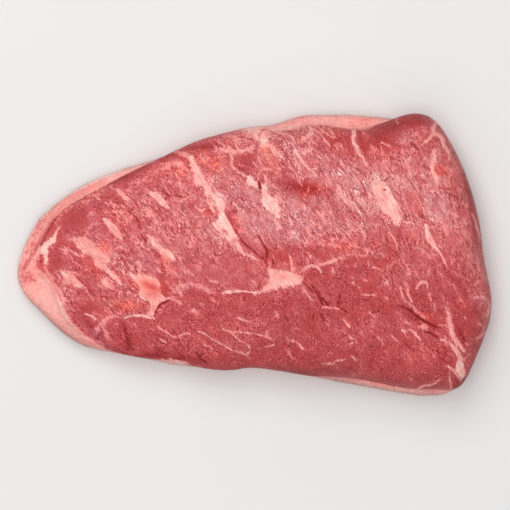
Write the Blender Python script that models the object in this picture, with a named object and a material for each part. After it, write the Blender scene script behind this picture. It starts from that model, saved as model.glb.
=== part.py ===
"""Raw picanha, the beef top sirloin cap, lying on its fat with the trimmed face of the muscle up.

Two solids: the lean muscle, and the fat cap that runs under all of it and shows as a rim round it.
Lengths are millimetres, turned into metres where the meshes are made. X runs from the pointed tip (-)
to the thick end (+), Z is up, and the origin is the middle of the base.
"""

import math

import bmesh
import bpy
import numpy as np

MM = 0.001

# Driving dimensions
LENGTH = 300.0  # of the whole cut, tip to thick end
TOP_AT_TIP = 18.5  # height of the lean's upper face where the cut is thinnest
TOP_AT_END = 45.0  # and where it is thickest
FAT_THICKNESS = 8.5  # of the cap, under the middle of the lean
GAP = 0.3  # between the two solids

# The lean's edge seen from above, counter-clockwise; drawn at full size and then fitted to LENGTH
LEAN_EDGE = (
    (143.7, 3), (143.2, 13), (140.5, 27), (136, 43), (131, 56.5), (124, 70.5), (116, 83), (109.5, 88),
    (101.5, 89.6), (93, 87.6), (82, 83.4), (71, 80), (58, 79.8), (45, 81.6), (30, 81.6), (14, 79.6),
    (-8, 79), (-23, 75.6), (-36, 71.8), (-50, 65.4), (-64, 58.6), (-80, 51), (-94, 43.6), (-108, 36),
    (-121, 27.5), (-129, 17), (-135, 5), (-134.5, -6), (-129, -15), (-123, -25), (-119, -37), (-110, -46.5),
    (-98, -56.5), (-84, -61.8), (-66, -65), (-50, -66.4), (-32, -70.8), (-15, -72.4), (-3, -70.3),
    (16, -72.4), (36, -75.8), (56, -76.4), (78, -79.8), (100, -84), (118, -84.4), (127.5, -84.6),
    (133, -79), (139, -66), (145.5, -50), (149.4, -37), (149.3, -25), (146, -9),
)  # fmt: skip

# The fat cap's edge seen from above, counter-clockwise
FAT_EDGE = (
    (141.7, 3), (141.2, 13), (138.5, 26.5), (134, 42.4), (128.8, 55.5), (121.8, 69.2), (114, 80.6),
    (106, 84.8), (96, 85.8), (84, 86.9), (72, 88.3), (56, 89.2), (36, 89), (25, 87.6), (15.5, 82.9),
    (5, 82.3), (-6, 80.9), (-22, 76.6), (-36, 72.7), (-48, 67), (-62, 60.9), (-77, 56.6), (-92, 51.7),
    (-107, 45.2), (-119, 37.8), (-127, 31), (-134.5, 25.8), (-139, 18.8), (-141.5, 13), (-145.8, 6),
    (-148.8, -3), (-150, -13), (-149, -20.5), (-141, -29.8), (-130, -40.6), (-119, -50.8), (-108, -57.4),
    (-96, -60.4), (-80, -63.4), (-64, -66.4), (-51, -69.2), (-36, -70.6), (-18, -71.6), (0, -70.6),
    (18, -73.2), (34, -76.4), (48, -78.9), (62, -81.7), (80, -84.8), (96, -87.7), (109, -89.1), (120, -88.2),
    (127, -85.4), (131.6, -78.4), (137, -65.4), (143.4, -49.6), (147.3, -36.8), (147.2, -25), (144.2, -9),
)  # fmt: skip

# Furrows of the upper face: a route, a depth and half a width
FURROWS = (
    # between the grained upper muscle and the smooth lower one
    (
        ((-82, -41), (-63, -38), (-54, -29), (-36, -23), (-12, -24), (8, -23), (22, -17), (36, -9), (68, 0)),
        1.7,
        6,
    ),
    # down to the lower corner of the thick end
    (((90, -26), (101, -38), (118, -45), (126, -56), (130, -72)), 2.6, 6),
    # beside the long streak of seam fat
    (((-41, 61), (-33, 48), (-23, 32), (-12, 17), (-3, 4), (10, -7)), 1.4, 7),
    # the open split near the middle
    (((2, 13), (6.5, 4), (8, -4)), 1.8, 5),
    # across the pointed half
    (((-78, 31), (-70, 15), (-61, 0), (-56, -14), (-53, -27)), 1.8, 7),
    # between the two lobes of the far side
    (((63, 80), (64, 70), (70, 58), (78, 47), (88, 27)), 1.9, 8),
    # along the thick end
    (((112, 84), (111, 66), (111, 48)), 1.2, 6),
    (((108, 19), (115, 2), (122, -8)), 1.2, 6),
)  # fmt: skip
HOLLOWS = (((33, 42), 1.9, 13), ((-112, 22), 1.2, 14), ((94, 80), 1.4, 12))  # centre, depth, radius
# Low waves over the whole face: wavelengths along X and Y, phase and height
SWELLS = ((43, 31, 0.7, 0.75), (67, -52, 2.1, 0.9), (-88, 75, 4.0, 0.8))

# The underside is flat inside these corners, and rises slowly from there to the edge
REST_CORNERS = ((-130, -6), (-45, -56), (118, -72), (128, 20), (60, 74), (-54, 51))
REST_RISE = 0.02

CUBE_CUTS = 23  # across each face of the cube that a solid starts from
CUBE_TURN = 1 / 8  # of a turn, which keeps the cube's corners off the corners of the thick end
EQUATOR = 1e-4  # a point this near the ball's equator lies on it


def smooth_step(low, high, value):
    """0 below low, 1 above high, and a smooth S between."""
    t = np.clip((value - low) / (high - low), 0, 1)
    return t * t * (3 - 2 * t)


def closed_curve(corners, steps=8):
    """A smooth closed line through the corners, as an array of plan points."""
    p1 = np.array(corners, float)
    p0, p2, p3 = np.roll(p1, 1, 0), np.roll(p1, -1, 0), np.roll(p1, -2, 0)
    t = np.linspace(0, 1, steps, endpoint=False)[None, :, None]
    p0, p1, p2, p3 = (p[:, None, :] for p in (p0, p1, p2, p3))
    line = p1 + 0.5 * t * (p2 - p0 + t * (2 * p0 - 5 * p1 + 4 * p2 - p3 + t * (3 * (p1 - p2) + p3 - p0)))
    return line.reshape(-1, 2)


def fitted_edge(corners):
    """The smooth edge through the corners, with the whole cut centred and LENGTH long."""
    whole = np.vstack([closed_curve(LEAN_EDGE), closed_curve(FAT_EDGE)])
    low, high = whole.min(0), whole.max(0)
    return (closed_curve(corners) - (low + high) / 2) * LENGTH / (high[0] - low[0])


def along(line, share):
    """The plan points at these shares of the closed line's length."""
    ends = np.vstack([line, line[:1]])
    walked = np.concatenate([[0], np.cumsum(np.linalg.norm(np.diff(ends, axis=0), axis=1))])
    at = share * walked[-1]
    return np.stack([np.interp(at, walked, ends[:, 0]), np.interp(at, walked, ends[:, 1])], axis=1)


def distance_to(points, line, closed):
    """How far each plan point lies from the line."""
    starts = line if closed else line[:-1]
    spans = (np.roll(line, -1, 0) if closed else line[1:]) - starts
    offset = points[:, None, :] - starts[None, :, :]
    share = np.clip((offset * spans).sum(2) / (spans**2).sum(1), 0, 1)
    return np.linalg.norm(offset - share[:, :, None] * spans, axis=2).min(1)


def rounding(inset, width):
    """A quarter ellipse: 0 at the edge, rising steeply to 1 where the inset reaches the width."""
    return np.sqrt(1 - (1 - np.clip(inset / width, 0, 1)) ** 2)


def relief(points):
    """Height of furrows, hollows and low swells of the lean's upper face."""
    x, y = points.T
    height = np.zeros(len(points))
    for x_wave, y_wave, phase, size in SWELLS:
        height = height + size * np.sin(2 * math.pi * (x / x_wave + y / y_wave) + phase)
    for route, depth, half_width in FURROWS:
        away = distance_to(points, np.array(route, float), closed=False)
        height = height - depth * np.exp(-((away / half_width) ** 2))
    for centre, depth, radius in HOLLOWS:
        away = np.linalg.norm(points - np.array(centre), axis=1)
        height = height - depth * np.exp(-((away / radius) ** 2))
    return height


def lean_edge_height(points):
    """Height at which the lean reaches furthest out: low at the tip, where it is thin."""
    return 13.0 + 5.0 * smooth_step(-120, -30, points[:, 0])


def lean_top(points):
    """Height of the lean's upper face away from its edge: thin at the tip, lower along the near side."""
    x, y = points.T
    rise = smooth_step(-175, 45, x)
    return TOP_AT_TIP + (TOP_AT_END - TOP_AT_TIP) * rise - 3.5 * smooth_step(10, -95, y)


def lean_heights(points, inset, upper):
    edge = lean_edge_height(points)
    shoulder = 22 + 16 * smooth_step(110, -60, points[:, 0])
    face = rounding(inset, shoulder)
    top = edge + (lean_top(points) - edge) * face + relief(points) * smooth_step(0, 12, inset)
    bed = edge - (edge - FAT_THICKNESS) * rounding(inset, 11)
    return np.where(upper, top, bed)


def outside_rest(points):
    """How far each plan point lies outside the flat of the underside, and 0 within it."""
    corners = np.array(REST_CORNERS, float)
    sides = np.roll(corners, -1, 0) - corners
    outward = np.stack([sides[:, 1], -sides[:, 0]], axis=1) / np.linalg.norm(sides, axis=1)[:, None]
    return ((points[:, None, :] - corners) * outward).sum(2).max(1).clip(0)


def fat_heights(points, inset, upper):
    """The cap is soft and rounded round the tip, and trimmed flush with the lean along the sides."""
    tip = smooth_step(-60, -130, points[:, 0])
    edge = 6.5 + 1.5 * tip
    top = edge + (lean_edge_height(points) - 0.4 - edge) * rounding(inset, 3 + 4 * tip)
    base = edge * (1 - rounding(inset, 10)) + REST_RISE * outside_rest(points)
    return np.where(upper, top, base)


def ball_of_quads(bm):
    """A cube's faces cut into a grid and blown up to the unit sphere, so that no rings crowd at a pole."""
    bmesh.ops.create_cube(bm, size=2)
    bmesh.ops.subdivide_edges(bm, edges=bm.edges, cuts=CUBE_CUTS, use_grid_fill=True)
    squares = np.array([v.co for v in bm.verts]) ** 2
    for vert, (x, y, z) in zip(bm.verts, squares):
        vert.co.x *= math.sqrt(1 - y / 2 - z / 2 + y * z / 3)
        vert.co.y *= math.sqrt(1 - z / 2 - x / 2 + z * x / 3)
        vert.co.z *= math.sqrt(1 - x / 2 - y / 2 + x * y / 3)


def rounded_slab(name, outline, heights, colour, roughness, corners_below=()):
    """A ball stretched until its equator follows the outline, with a vertex below at each of corners_below.

    Its faces lie at heights(points, inset, upper).
    """
    bm = bmesh.new()
    ball_of_quads(bm)
    ball = np.array([v.co for v in bm.verts])
    turn = (np.arctan2(ball[:, 1], ball[:, 0]) / (2 * math.pi) + CUBE_TURN) % 1
    reach = np.hypot(ball[:, 0], ball[:, 1])
    line = fitted_edge(outline)
    plan = along(line, turn) * reach[:, None]
    upper = ball[:, 2] > 0
    for corner in corners_below:
        away = np.linalg.norm(plan - corner, axis=1)
        plan[np.argmin(np.where(upper, np.inf, away))] = corner
    inset = distance_to(plan, line, closed=True) * (reach < 1 - EQUATOR)
    z = heights(plan, inset, upper)
    for vert, (x, y), height in zip(bm.verts, plan, z):
        vert.co = (x * MM, y * MM, height * MM)
    mesh = bpy.data.meshes.new(name)
    bm.to_mesh(mesh)
    bm.free()
    mesh.shade_smooth()
    mesh.materials.append(finish(name, colour, roughness))
    return bpy.data.objects.new(name, mesh)


def finish(name, colour, roughness):
    material = bpy.data.materials.new(name)
    material.use_nodes = True
    shader = material.node_tree.nodes["Principled BSDF"]
    shader.inputs["Base Color"].default_value = (*colour, 1)
    shader.inputs["Roughness"].default_value = roughness
    shader.inputs["Metallic"].default_value = 0
    return material


def collection(name):
    made = bpy.data.collections.new(name)
    bpy.context.scene.collection.children.link(made)
    return made


def make_lean(name):
    return rounded_slab(name, LEAN_EDGE, lean_heights, (0.50, 0.075, 0.08), 0.42)


def make_bed_cutter():
    """The lean grown by the gap, which the fat is hollowed with."""
    cutter = make_lean("lean_bed")
    grow = cutter.modifiers.new("gap", "DISPLACE")
    grow.strength = GAP * MM
    grow.mid_level = 0
    cutter.hide_render = True
    cutter.display_type = "WIRE"
    return cutter


def make_fat_cap(cutter):
    fat = rounded_slab("fat_cap", FAT_EDGE, fat_heights, (0.88, 0.47, 0.38), 0.5, REST_CORNERS)
    bed = fat.modifiers.new("bed", "BOOLEAN")
    bed.operation = "DIFFERENCE"
    bed.object = cutter
    return fat


def main():
    for obj in list(bpy.data.objects):
        bpy.data.objects.remove(obj)
    cut = collection("picanha")
    helpers = collection("cutters")
    cutter = make_bed_cutter()
    helpers.objects.link(cutter)
    cut.objects.link(make_lean("lean"))
    cut.objects.link(make_fat_cap(cutter))


main()
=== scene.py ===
"""Raw picanha: a moist, marbled muscle on its fat cap, on a pale floor under soft studio light."""

import math
from collections import namedtuple

import bmesh
import bpy
import numpy as np
from bpy.props import FloatProperty, FloatVectorProperty, PointerProperty
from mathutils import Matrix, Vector
from mathutils.bvhtree import BVHTree


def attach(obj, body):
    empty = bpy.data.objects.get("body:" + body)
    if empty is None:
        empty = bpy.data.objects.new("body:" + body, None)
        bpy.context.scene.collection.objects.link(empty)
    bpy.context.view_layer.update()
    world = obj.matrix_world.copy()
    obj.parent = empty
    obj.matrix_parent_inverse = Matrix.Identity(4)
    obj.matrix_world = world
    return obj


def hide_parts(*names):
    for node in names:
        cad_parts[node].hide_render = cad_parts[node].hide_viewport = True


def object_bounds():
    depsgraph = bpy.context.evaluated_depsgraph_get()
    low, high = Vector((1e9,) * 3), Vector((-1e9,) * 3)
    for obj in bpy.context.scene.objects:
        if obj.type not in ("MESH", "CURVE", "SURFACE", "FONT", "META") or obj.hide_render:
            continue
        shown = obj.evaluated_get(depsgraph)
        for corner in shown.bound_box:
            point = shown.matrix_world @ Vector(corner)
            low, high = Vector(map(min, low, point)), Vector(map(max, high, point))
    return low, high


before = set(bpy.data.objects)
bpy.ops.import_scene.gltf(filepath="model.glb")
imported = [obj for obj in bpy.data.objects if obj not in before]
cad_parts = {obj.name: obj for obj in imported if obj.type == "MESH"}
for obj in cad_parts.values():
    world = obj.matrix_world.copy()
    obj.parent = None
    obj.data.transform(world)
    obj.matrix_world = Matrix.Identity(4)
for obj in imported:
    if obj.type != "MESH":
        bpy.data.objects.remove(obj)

bl_info = {
    "name": "Raw Picanha",
    "version": (1, 0, 0),
    "blender": (4, 5, 0),
    "location": "3D View > Sidebar > Picanha",
    "description": "Dresses a raw picanha: the marbled lean, its fat cap and a small studio",
    "category": "Object",
}

CAD_BOX = [list(corner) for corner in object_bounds()]
MM = 0.001
UP = Vector((0, 0, 1))

# The fine meshes
WELD = 0.01 * MM  # points nearer than this are one
FLAT_ENOUGH = 0.6  # radians; two triangles that meet at less become one face
BED_NORMAL = -0.4  # faces of the lean whose normal points further down than this lie in the fat
BED_DETAIL = 0.62  # share of those faces that is kept
OPEN_NORMAL = 0.2  # faces of the fat that point further up than this are its upper face

# How the fat climbs where it meets the lean; places in millimetres
FILLET_REACH = 5.0  # from the lean
FILLET_FOOT = 5.0  # lowest height of a point that climbs
TIP_FROM, TIP_TO = -90, -115  # X over which it comes to climb further at the tip
RIM_FROM, RIM_TO = 60, 75  # Y over which it does so at the far rim ...
KNOT_FROM, KNOT_TO = -20, 5  # ... and X

# The sides, told by how far the normal points up; their colour is darkened there as painted shade
STEEP_FROM, STEEP_TO = 0.75, 0.15
UNDER_FROM, UNDER_TO = -0.3, -0.9
SIDE_PAINTED_SHADE = 0.18  # how much less light they give back

# The studio, in metres and watts
FLOOR_HALF = 10
FLOOR_DROP = 0.2 * MM
FLOOR_ROUGHNESS = 0.9
FLOOR_SPECULAR = 0.1
SKY_COLOUR = (0.98, 0.99, 1.0, 1)
SKY_STRENGTH = 0.42
LAMPS = (  # name, place, size, power
    ("key", (-0.35, 0.9, 1.4), 1.1, 11.0),
    ("overhead", (-0.1, -0.2, 1.9), 1.2, 13.0),
    ("fill", (-0.1, -1.1, 1.2), 0.9, 2.0),
)
VIEW_LEVEL = 14 * MM  # the height at which the view has its width
VIEW_MIDDLE = 0.95 * MM
VIEW_END = 100

# ---------------------------------------------------------------------------------------------------
# Places on the cut, in millimetres seen from above: X towards the thick end, Y away from the near side
# ---------------------------------------------------------------------------------------------------

# The fibres run down the cut along parabolas, steeper towards the thick end
FIBRE_SLOPE = 1.5
FIBRE_BEND = 0.0025  # for each millimetre of X

Mark = namedtuple("Mark", "tone soft route")  # tone 0 dark to 1 pale, edge softness, (x, y, width) rows
Patch = namedtuple("Patch", "tone soft corners")  # the same with a closed outline
# A soft spot: its half lengths, its strength and the degrees by which it is turned
Blot = namedtuple("Blot", "x y long wide amount turn", defaults=(0,))
Shade = namedtuple("Shade", "amount width route")  # a change of tone along an (x, y) line, and its half width
Scatter = namedtuple("Scatter", "x y long wide turn count length width tone")  # many short flecks in a spot


def drawn(kind, *rows):
    """Marks, patches or shades from rows of two values and then the points."""
    return [kind(*row[:2], row[2:]) for row in rows]


def spots(*rows):
    return [Blot(*row) for row in rows]


# Seam fat and thick marbling
TONGUE = Patch(0.96, 0.7, (
    (-121, 18.3), (-123.3, 17), (-124.6, 14), (-126.5, 11.8), (-129.5, 9.5), (-132.5, 7), (-135, 4.5),
    (-137, 0.5), (-134.5, 0), (-132.5, 0.5), (-131.8, -3), (-131, -6.3), (-130.2, -5), (-129.8, 0),
    (-128.6, 4.8), (-126, 7.2), (-123.8, 8.8), (-124, 12), (-123, 15),
))
PATCHES = drawn(
    Patch,
    # where the two muscles meet, at the middle and left of it
    (0.9, 1.1, (9, -8), (12, -8.5), (17, -9.5), (23, -10.5), (28, -12), (30.5, -13.2), (31.5, -15),
     (29.5, -17.5), (26, -19.3), (20, -19.5), (15, -21), (10, -22.8), (4, -24), (0, -24), (3, -22.5),
     (6.5, -20), (9, -17.5), (10.5, -14), (9.5, -11)),
    (0.94, 1.1, (-77, -12.3), (-72, -12), (-66, -12.5), (-61.5, -14.5), (-58.5, -17.5), (-58, -22),
     (-57, -26.5), (-53, -27.3), (-58.5, -30.3), (-61, -35), (-62.3, -39.3), (-65, -38), (-65.4, -33),
     (-65, -29.4), (-67.4, -28.8), (-70.4, -27), (-71.4, -24), (-69.8, -22), (-72.5, -19), (-75.3, -16)),
    # the wide patch of the thick end
    (0.93, 1.2, (73.5, 47), (76, 48), (78.5, 46.5), (82, 43.5), (84.5, 42), (86.5, 38), (87.5, 35),
     (90.5, 31.5), (91.5, 27), (92, 22), (91.5, 18), (89.5, 17.5), (87, 20), (85.5, 23), (82.5, 25.5),
     (79.5, 27.5), (77, 30), (76.5, 34), (74.5, 38.5), (73.5, 42)),
    # the two blobs of the middle, with an open gap between them
    (0.95, 0.7, (-4, 49.5), (-1.5, 49.5), (0, 47), (2.5, 45.5), (3.4, 43), (2, 41.5), (0, 43), (-3, 43),
     (-4.5, 45.5)),
    (0.94, 0.7, (4.8, 44.5), (7.5, 44.5), (8.5, 41), (9, 38.5), (11.5, 36.5), (13.5, 36.5), (15.5, 33.5),
     (15, 30), (15.8, 26.5), (16.2, 23.5), (14.5, 23), (13, 25), (11, 26.5), (8, 28.5), (6, 30.5),
     (5, 34), (5, 39)),
    # the long streak of seam fat from the far rim down to the middle
    (0.93, 1.3, (-41, 62), (-37.5, 62), (-36, 58), (-34.5, 55), (-30.5, 50.5), (-28.5, 46.5),
     (-26, 42.5), (-24, 39), (-18.5, 37.5), (-17.5, 33.5), (-17.3, 30), (-18.5, 27), (-17, 24),
     (-14.5, 20), (-12.5, 16), (-10, 12), (-9.5, 9), (-7, 4), (-10.5, 4.5), (-14.5, 7.5), (-18.5, 10),
     (-21, 13), (-24, 16), (-25.3, 19.5), (-22, 23), (-21.8, 27), (-23, 31), (-25.5, 34.5), (-29.5, 38),
     (-31, 41), (-35.5, 43.5), (-38, 47), (-38.5, 52), (-40, 57)),
    # the knot where fat comes over the far rim
    (0.91, 1.4, (-3, 80.5), (2, 82.5), (10, 82.5), (14, 83), (12, 80.5), (9, 79.5), (10.5, 77),
     (10.5, 73.5), (10.5, 70.5), (11, 67.5), (8, 67), (5.5, 66), (3.5, 67.5), (3.5, 70.5), (1.5, 73),
     (-0.5, 74.5), (-2, 77.5)),
    # streaks over the pointed half
    (0.88, 1.2, (-114, 10.5), (-110, 11.5), (-105, 11.5), (-102, 9.5), (-99.5, 7), (-98, 4), (-95.5, 2),
     (-92, 0.5), (-90, -1.5), (-91, -4), (-95, -5), (-98, -5.5), (-101, -3.5), (-104, 0), (-107.5, 3),
     (-111, 5), (-113, 8)),
    (0.89, 1.2, (-121.5, -9.5), (-117, -10), (-114, -11), (-112, -13.5), (-109, -16), (-106, -19.5),
     (-103, -22.5), (-101, -25.5), (-104, -24), (-108, -20.5), (-112, -19.5), (-117, -18), (-121, -17),
     (-119, -14)),
    (0.89, 0.8, (-95, -14.5), (-92.5, -14.5), (-91, -17), (-88.5, -19.5), (-86.8, -22.5), (-90, -21.5),
     (-93, -19.5), (-95, -17)),
    (0.96, 0.8, (128, -63.5), (130.5, -66), (131.5, -69.5), (132.5, -72.5), (132.5, -76), (130.5, -77.5),
     (128, -76), (126.3, -72.5), (126.5, -68.5)),
)
MARKS = drawn(
    Mark,
    # along the far edge, left of the long streak
    (0.9, 0.6, (-94, 22, 1.6), (-91.5, 20, 3.4), (-88, 16.5, 5), (-85, 13, 4.2), (-82.3, 9.8, 1.5)),
    (0.86, 0.6, (-86, 41.3, 1.6), (-83.5, 39, 3), (-81.5, 37, 2.6), (-78.5, 34.2, 1.2)),
    (0.89, 0.6, (-64.5, 38.8, 2.4), (-60.5, 36.8, 4.4), (-57, 33.5, 4.2), (-53.6, 29.2, 1.6)),
    (0.82, 0.9, (-67.5, 29.2, 3), (-65, 27, 3.4), (-62.5, 23.5, 2.8), (-60.8, 20, 2)),
    (0.91, 0.6, (-66, 12.2, 1.8), (-63, 8.8, 5.2), (-60, 5.8, 4.4), (-57, 3.8, 2)),
    (0.9, 0.7, (-56.5, 2.4, 4.4), (-53.5, 0.4, 5.6), (-50.6, -2.4, 4)),
    (0.76, 0.8, (-76, 45.5, 1.2), (-72, 45.8, 1.4), (-68, 48, 1.6), (-66.3, 50, 1.2)),
    (0.76, 0.8, (-64, 50.5, 1.2), (-61, 52.8, 1.6), (-57.5, 53.6, 1.4)),
    (0.8, 1, (-58, 53.5, 2), (-53, 56, 3), (-48, 57.8, 3), (-43, 54.5, 2.6)),
    (0.8, 0.8, (-49.5, 65, 1.6), (-44.5, 63.5, 2.4), (-41, 62, 2.4)),
    (0.78, 0.7, (-54.5, 57, 1.4), (-50, 58.5, 1.8)),
    (0.76, 0.6, (-44.5, 33, 1), (-41, 35.5, 1.2), (-37, 38, 1.2), (-34, 40, 1)),
    (0.82, 0.6, (-36, 30.5, 1.2), (-33, 27.6, 2), (-30.5, 28.5, 1.4)),
    (0.84, 0.6, (-29.5, 34.5, 1.2), (-26.3, 30, 1.8), (-24.3, 25, 1.4)),
    (0.8, 0.6, (-29.5, 15.5, 1.2), (-26, 13, 1.6), (-23.6, 9.6, 1.2)),
    (0.77, 0.6, (-60, 17, 1), (-56, 13.4, 1.6), (-53.6, 9, 1)),
    (0.76, 0.6, (-48.5, 25, 0.9), (-43, 21, 1.1), (-39.5, 18.5, 0.9)),
    (0.84, 0.6, (-26.5, -16.3, 1.6), (-22.5, -17, 1.8)),
    (0.76, 0.8, (-40.5, -10, 1.8), (-37, -12.6, 1.8)), (0.74, 0.8, (-45.5, -8, 1.4), (-42, -10.4, 1.4)),
    (0.72, 0.8, (-35, -6, 1.6), (-33, -9, 1.8)), (0.72, 0.8, (-52.5, -9.5, 1.8), (-48.5, -12, 2.2)),
    (0.7, 0.6, (-33, 1.5, 0.9), (-29, -3, 0.9), (-24, -6, 0.9)),
    # streaks over the pointed half
    (0.9, 0.6, (-98, -5, 3.4), (-94, -7.8, 4.2), (-90, -11, 3.6), (-86, -15, 2.6), (-83, -18.8, 1.4)),
    (0.8, 0.6, (-121, 4, 1), (-116.5, 3.2, 1.4), (-112, 0.6, 1.4), (-107.5, -0.8, 1)),
    (0.78, 0.5, (-104, 16.5, 1), (-101, 19.3, 1.2), (-97, 19.5, 1)),
    (0.78, 0.7, (-123.6, 22.2, 1.8), (-123, 23, 1.8)),
    (0.9, 0.5, (-106, -37, 0.9), (-102, -38, 1.4), (-99.2, -40.2, 1.1)),
    (0.78, 0.8, (-98.5, -46.5, 1.6), (-95, -42.5, 2.4), (-91, -39.6, 2), (-87, -38.2, 1.6),
     (-83.5, -39.6, 1.4)),
    (0.74, 0.9, (-95.5, -42, 1.6), (-93.5, -47, 2.4), (-92, -51.5, 2), (-90, -55.5, 1.4)),
    # the pale edge where the two muscles part
    (0.95, 0.5, (-81.5, -39.8, 1), (-78, -38.4, 1.6), (-74, -38, 1.5), (-70, -38, 1.5), (-66, -39, 1.7),
     (-62.3, -39.8, 1.4)),
    (0.9, 0.5, (-52.5, -26.9, 1.3), (-56, -28.2, 1.3), (-59, -30.2, 1.3)),
    (0.8, 0.7, (-51, -26.6, 1), (-49.5, -23, 1.8), (-47.5, -20.4, 1.8), (-44.5, -18.6, 1.4),
     (-40, -18, 1)),
    (0.76, 0.7, (-40, -18, 1.2), (-36, -18.5, 1.2), (-32, -20, 1.4), (-29, -22, 2), (-27.5, -24.5, 1)),
    (0.82, 0.6, (-51.5, -27, 1.2), (-48, -28.8, 2), (-44.5, -30.8, 1.4)),
    (0.8, 0.6, (-37.3, -34.3, 1.8), (-35.2, -36.2, 1.8)),
    (0.96, 0.5, (-19.6, -24, 1), (-17.5, -23.2, 2), (-12, -22.8, 2), (-7, -22.4, 1.2), (-2, -23.2, 0.9),
     (4, -23.7, 1.1)),
    (0.86, 0.5, (31.3, -9.5, 1.4), (34, -7.2, 2), (37, -6.6, 2), (40, -8, 1.8), (42.5, -10.8, 1.2)),
    (0.82, 0.5, (36, -7.4, 1), (42, -6, 1.4), (47, -4.6, 2.2), (51.5, -3.2, 2.2), (54, -1.8, 1.2)),
    (0.78, 0.5, (58, -0.6, 0.9), (61, 0.4, 1.3), (66, -0.2, 1.1), (70, -0.4, 1.3), (71.3, 2.6, 0.9)),
    (0.88, 0.5, (22, 0.4, 1.2), (23.4, -4, 1.7), (24.4, -9.5, 1.9)),
    # under the far rim and round the knot
    (0.78, 0.6, (4, 67, 1.2), (6, 64.5, 1.4), (8.6, 62.4, 1.1)),
    (0.87, 0.7, (10.8, 68, 3.4), (13.5, 64.6, 3.8), (16, 62, 2.8), (18.8, 59.6, 1.4)),
    (0.8, 0.7, (-8.5, 78.5, 1.2), (-4, 75.6, 1.6), (0, 73, 1.4)),
    (0.86, 0.8, (-20.5, 66.3, 2.4), (-14.5, 64.6, 3.2), (-8, 64.6, 2.6), (-3, 66, 2.4), (0.5, 68, 2)),
    (0.84, 0.7, (-15, 64.5, 2.8), (-13.6, 61, 2.4), (-13.4, 56.5, 1.8), (-11, 53.2, 1.3),
     (-7, 50.6, 1.2), (-4, 48.5, 1.2)),
    (0.8, 0.8, (-22, 71.5, 1.6), (-18.5, 67.5, 2.4)),
    (0.78, 0.7, (-17, 74.5, 1.6), (-12, 73, 2), (-8, 72.4, 1.6)),
    (0.82, 0.5, (3, 50, 1), (5, 52.6, 1.2), (8, 53.6, 1.2), (12, 53, 1)),
    (0.84, 0.6, (7, 49.5, 1.6), (8.4, 46.4, 2.2)),
    (0.82, 0.8, (14, 36.8, 2.2), (17, 34.6, 3), (16.6, 32.4, 2)),
    (0.83, 0.9, (13.5, 20.2, 2.4), (16.4, 18.4, 3.6), (15, 16.4, 2.2)),
    (0.88, 0.6, (25.3, 65.6, 1.6), (28, 61.6, 2), (31, 57.6, 2.6), (34, 54.2, 1.8), (37, 51.4, 1.3),
     (40.5, 48.2, 1)),
    (0.83, 0.9, (30.5, 63.4, 2), (34, 64.8, 3.2), (37, 66.4, 2)),
    (0.87, 0.6, (35.6, 79.4, 1.8), (36.4, 76, 2.8), (33.4, 73.6, 3), (31, 71.6, 2.4)),
    (0.8, 0.5, (36, 80, 1), (41, 75.6, 1.4), (44.4, 72.2, 1)),
    (0.8, 0.5, (39, 81, 1), (44, 77, 1.4), (48.4, 73, 1)),
    (0.8, 0.5, (47, 79.4, 1), (49.4, 76, 1.5), (51.4, 72.6, 1.2)),
    (0.83, 0.5, (13.5, 77.2, 1.2), (19, 75.6, 1.6), (24, 73.6, 1.6), (26, 70, 1.1)),
    (0.72, 0.5, (25, 50.4, 0.9), (28, 46.6, 1.1), (30.4, 43, 0.9)),
    (0.84, 0.5, (40, 27.4, 1.1), (42, 24.2, 1.6), (44.6, 20.8, 1.3)),
    (0.86, 0.8, (52, 43, 1.8), (54, 40, 2.8), (55.4, 36.4, 3.2), (58.4, 32.8, 3.6)),
    (0.82, 0.6, (65.6, 18.6, 1.2), (68.2, 14.2, 2.4), (69.8, 11, 0.9)),
    (0.76, 0.9, (41.5, 7.6, 2.4), (43.6, 6.2, 2.4)), (0.77, 0.9, (47.5, 6.8, 2.6), (52, 5.6, 3)),
    (0.74, 0.9, (55, 9, 2), (58, 8.4, 2)), (0.74, 0.8, (50, 16.4, 1.4), (57, 14, 1.6)),
    (0.83, 0.6, (-14.4, 33.2, 1.2), (-11, 31.4, 2), (-9.4, 28.2, 1.5)),
    (0.8, 0.5, (-13, 24, 1), (-9, 22.6, 1.4), (-4.6, 21.4, 1)),
    (0.8, 0.7, (-4.6, 33, 1.8), (-3.8, 31.2, 1.6)),
    (0.86, 0.5, (-10, 4.5, 2.6), (-6.4, 1, 1.8), (-2, -0.6, 1.4), (2.4, -3.2, 1)),
    # the thick end
    (0.88, 0.6, (63.2, 81, 3), (62.8, 75, 2.7), (62.4, 71, 2.4), (64.6, 66.6, 2.4), (67, 62.4, 2.1),
     (69.6, 58, 1.5), (71.6, 54.6, 1)),
    (0.76, 0.5, (81, 59.2, 0.9), (86, 58, 1.1), (92, 60, 1)),
    (0.84, 0.6, (98, 60.4, 2.2), (95.6, 57.6, 3.6), (96.4, 54.4, 2.6), (97.4, 51, 2.8), (98, 47.6, 1.3)),
    (0.87, 0.6, (114.6, 82.6, 1.6), (112.4, 79.8, 2.4), (112, 76.6, 2.6), (110, 73, 2.4),
     (106.6, 70.2, 1.8)),
    (0.87, 0.6, (112, 75.6, 2.6), (116, 74.6, 3), (118, 72.2, 2.8), (118.6, 68.2, 2.4),
     (120.6, 65.4, 2.2), (122, 63.4, 1.9), (122.2, 59.6, 1.2)),
    (0.87, 0.6, (112.6, 65.6, 2), (112.5, 61, 2.6), (111.5, 56, 3), (111.5, 52, 2.6), (113.6, 48, 3),
     (114.6, 44, 1.6)),
    (0.91, 0.6, (107.4, 18.4, 2.2), (108.5, 14.4, 3.4), (110, 10.4, 4), (112, 7, 3), (114, 4, 2),
     (116.2, 1, 1.6), (118.6, -3.4, 1.4), (120.8, -7.4, 1)),
    (0.78, 0.9, (114.6, 24.4, 1.6), (119, 17.4, 3), (121, 12.6, 2.4)),
    (0.86, 0.7, (136.8, 25.4, 1.2), (139, 19, 1.6), (141, 12, 1.2)),
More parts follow.
